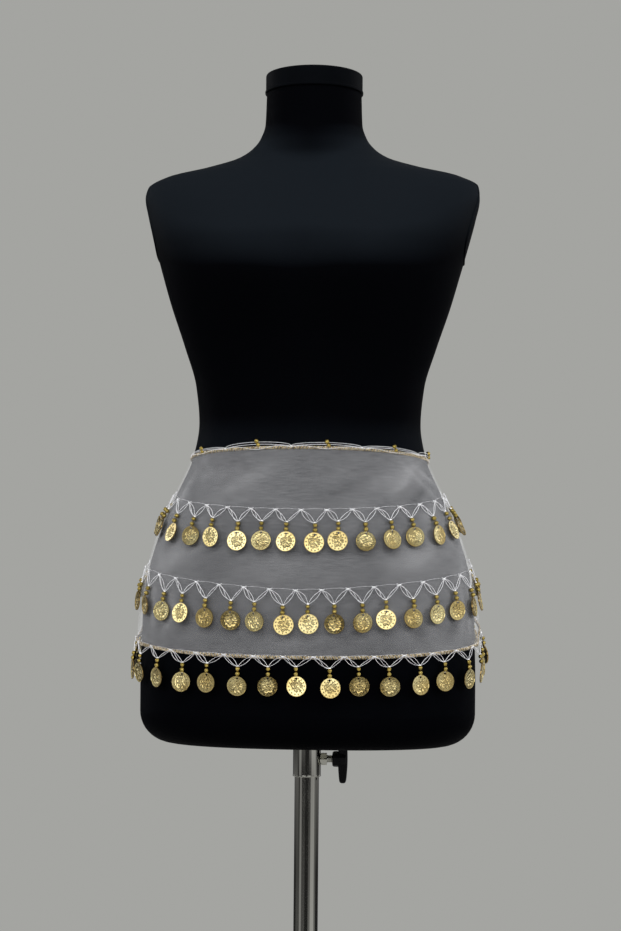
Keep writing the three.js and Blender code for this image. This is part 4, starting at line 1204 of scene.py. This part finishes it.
def back_knot():
    """The knot: a level bundle whose radius follows the two shoulders and the band round their middle.
    Uneven folds run along the shoulders, others round the band, and the shoulders end on the cloth's
    slanting ends. As on the cloth, the folds' heights are painted as light on their ridges and shade in
    their hollows, through a denser and lighter cloth."""
    along = np.linspace(-1, 1, 161)[:, None]
    turn = full_turn(128)[::-1]
    plain = np.interp(np.abs(along), *np.transpose(KNOT_OUTLINE))
    band = bell(along, 0.2)
    lengthways = 0.9 * np.sin(5 * turn + 1.3 * along) + 0.6 * np.sin(9 * turn - 2.2 * along + 1.0)
    crosswise = 0.7 * np.sin(along * 31 + 1.1 * np.sin(turn)) + 0.4 * np.sin(along * 19 - 0.8 * np.cos(turn))
    folds = lerp(lengthways, crosswise, band)
    radius = plain + folds * smooth((1.04 - np.abs(along)) / 0.1) - 0.9
    half_depth = KNOT["radius"] * KNOT["depth_share"]
    middle = back_at(KNOT["z"]) + half_depth + KNOT["clear"]
    y = radius * KNOT["depth_share"] * np.sin(turn) + middle
    z = KNOT["z"] + radius * np.cos(turn)
    x = (KNOT["reach"] - KNOT["slant"] * (z - KNOT["z"])) * along
    ends = [(side * KNOT["reach"], float(y.mean()), KNOT["z"]) for side in (-1, 1)]
    part = grid(np.stack([x, y, z], axis=-1), "columns", ends)
    # the folds' heights as painted light on ridges and painted shade in hollows
    density_and_painted_light = np.append(folds.ravel() * 1.5, [0, 0])
    uv = part[0][:, [0, 2]] * MM
    piece("knot_bundle", part, BUNCHED_CHIFFON, "form", ["back_knot"], uv, density_and_painted_light)


def tail_ripple(fall, share):
    """A hanging end's ripples: one and a half broad waves and some small slanting ones, which grow as it
    falls from the knot."""
    grown = smooth(np.minimum(1, fall * 2 + 0.2))
    broad = TAIL["ripple"] * np.cos(2 * np.pi * 1.5 * share)
    small = TAIL["small_ripple"] * np.sin(2 * np.pi * (3.2 * share + 0.6 * fall))
    return (broad + small) * grown


def tail_point(side, fall, share):
    """A place on a hanging end, which widens as it falls and lies off the form's back by its gap and its
    ripples."""
    top = KNOT["z"] - KNOT["radius"] - 0.5
    z = top - fall * TAIL["length"] * (1 - TAIL["shortened"] * share)
    centre = side * lerp(TAIL["start"], TAIL["splay"], fall**0.8)
    width = lerp(TAIL["top_width"], TAIL["bottom_width"], fall**0.7)
    x = centre + side * (share - 0.5) * width
    flat = np.sqrt(np.maximum(0, 1 - (x / half_width_at(z)) ** 2))
    y = back_at(z) * flat + TAIL["clear"] + tail_ripple(fall, share) + TAIL["wall"] / 2
    return np.stack([x, y, z], axis=-1)


def tail(side, name, node):
    """One hanging end as a thin wall on its ripples, with overlocked sides and foot. Gives both pieces."""
    fall = np.linspace(0, 1, 61)[:, None]
    share = np.linspace(0, 1, 31)[::-side]
    points = tail_point(side, fall, share)
    uv = points[..., [0, 2]].reshape(-1, 2) * MM
    # the ripples' heights as painted light on their crests and painted shade in their troughs
    ripples = tail_ripple(fall, share).ravel() * 0.45
    cloth = piece(f"{name}_chiffon", grid(points), HANGING_CHIFFON, "form", [node], uv, ripples)
    thin_wall(cloth)
    run, start, end = np.linspace(0, 1, 60), np.zeros(60), np.ones(60)
    lines = []
    for fall, share in ((run, start), (run, end), (end, run)):
        path = tail_point(side, fall, share)
        outward = np.broadcast_to([0.0, 1.0, 0.0], path.shape)
        lines.append((path, outward, unit(np.cross(np.gradient(path, axis=0), outward))))
    return cloth, overlock(f"{name}_overlock", lines)


# ------------ floor, light and camera

CAMERA = {"distance": 2.0, "height": 0.999, "azimuth": 4.5, "roll": -0.5}
LENS = {"lens": 74.85, "shift_x": 0.0016, "shift_y": 0.0693}
FLOOR = {"radius": 2400, "z": -0.5}
# name, place in metres, the height aimed at on the form's axis, width, height, power in watts
LIGHTS = [
    ("key_left", (-2.3, -1.2, 2.1), 1.0, 1.2, 1.2, 40),
    ("key_right", (2.4, -1.1, 2.0), 1.0, 1.0, 1.2, 46),
    ("top", (0.0, -1.5, 3.1), 1.2, 2.6, 1.2, 56),
    ("rim_left", (-1.8, 1.5, 1.6), 1.1, 0.6, 1.6, 16),
    ("rim_right", (1.8, 1.5, 1.6), 1.1, 0.6, 1.6, 16),
]


# Panels of the room that only light and reflections see: the middle direction round the form in degrees from
# the front, its half width, the middle elevation, its half height, the soft edge, and the brightness.
PANELS = [
    (-22, 15, 12, 17, 2.0, 2.0),
    (24, 16, 11, 16, 2.0, 1.8),
    (0, 9, 20, 17, 3.0, 1.5),
    (-52, 13, 0, 60, 6.0, 0.3),
    (62, 24, 0, 60, 9.0, 0.4),
    (-108, 36, 26, 36, 8.0, 0.42),
    (112, 42, 26, 36, 8.0, 0.48),
    (-80, 13, 13, 10, 2.0, 1.5),
    (-128, 11, 11, 10, 2.0, 1.5),
    (82, 13, 13, 10, 2.0, 1.5),
    (130, 11, 11, 10, 2.0, 1.5),
    (180, 25, 10, 60, 16.0, 0.4),
    (0, 200, 80, 38, 12.0, 0.5),
    (-58, 50, -24, 17, 4.0, 0.09),
    (62, 42, -24, 17, 6.0, 0.28),
]


def room_light(tree):
    """The room's brightness by direction: a dim base plus panels, each the product of two soft-edged bands,
    one over the direction round the form and one over the elevation."""
    x, y, z = split(tree, add_node(tree, "TexCoord").outputs["Generated"])
    around = x.by("ARCTAN2", y * -1.0).by("DEGREES")
    up = z.by("ARCSINE").by("DEGREES")

    def band(value, middle, half, soft):
        """1 inside the band and 0 outside, with a slope over the soft width inside its edges."""
        away = (value - float(middle)).by("ABSOLUTE")
        return (maths(tree, "SUBTRACT", float(half), away) / soft).by("MAXIMUM", 0.0).by("MINIMUM", 1.0)

    total = 0.03
    for middle, half_width, elevation, half_height, soft, brightness in PANELS:
        turn = around if middle < 150 else around.by("ABSOLUTE")
        panel = band(turn, middle, half_width, soft) * band(up, elevation, half_height, soft)
        total = panel * brightness + total
    return add_node(tree, "CombineXYZ", {"X": total, "Y": total, "Z": total * 1.03}).outputs[0]


def studio():
    """A pale round floor, a plain grey room and soft panel lights."""
    points, _, triangles = turned([(0, FLOOR["z"]), (FLOOR["radius"], FLOOR["z"])], 96)
    mesh = bpy.data.meshes.new("floor")
    mesh.from_pydata((points * MM).tolist(), [], triangles[:, ::-1].tolist())
    mesh.materials.append(finish("pale_floor", Base_Color=(0.33, 0.33, 0.325, 1), Roughness=0.8)[0])
    new_object("floor", mesh)

    world = bpy.context.scene.world or bpy.data.worlds.new("room")
    bpy.context.scene.world = world
    bpy.context.scene.view_settings.view_transform = "Standard"
    world.use_nodes = True
    tree = world.node_tree
    tree.nodes.clear()
    seen = add_node(tree, "Background", {"Color": (0.372, 0.374, 0.357, 1), "Strength": 1.0})
    lit = add_node(tree, "Background", {"Color": room_light(tree), "Strength": 1.0})
    ray = add_node(tree, "LightPath").outputs["Is Camera Ray"]
    both = add_node(tree, "MixShader", {0: ray, 1: lit.outputs[0], 2: seen.outputs[0]})
    add_node(tree, "OutputWorld", {"Surface": both.outputs[0]})

    for name, place, target, width, height, power in LIGHTS:
        data = bpy.data.lights.new(name, "AREA")
        data.shape, data.size, data.size_y, data.energy = "RECTANGLE", width, height, power
        lamp = new_object(name, data)
        lamp.location = place
        x, y, z = np.array([0, 0, target]) - place
        lamp.rotation_euler = (np.arctan2(np.hypot(x, y), -z), 0, np.arctan2(y, x) - np.pi / 2)
        lamp.visible_camera = False
        lamp.visible_glossy = False


def camera():
    """A level camera in front, a little to the knob's side, with its view shifted to frame the form."""
    data = bpy.data.cameras.new("camera")
    for key, value in LENS.items():
        setattr(data, key, value)
    made = new_object("camera", data)
    turn = np.radians(CAMERA["azimuth"])
    x, y = CAMERA["distance"] * np.sin(turn), -CAMERA["distance"] * np.cos(turn)
    made.location = (x, y, CAMERA["height"])
    made.rotation_euler = (np.pi / 2, np.radians(CAMERA["roll"]), turn)
    bpy.context.scene.camera = made


# ------------ everything in place

camera()
studio()
form_body()
turned_piece(*NECK_CAP, centre=(0, NECK_AXIS_Y))
arm_plate_seams()
for row in STAND_PIECES:
    turned_piece(*row)
clamp_boss()
clamp_screw()
wing_knob()
cloth = belt_cloth()
waist_overlock = overlock("waist_overlock", [cloth_edge(0.0, 1)], ["waist_edge_cord"])
hem_overlock = overlock("hem_overlock", [cloth_edge(1.0, -1)], ["hem_edge_cord"])
for row in COIN_ROWS:
    coin_row(*row)
waist_chain()
back_knot()
ends = [tail(-1, "left_end", "tail_left"), tail(1, "right_end", "tail_right")]
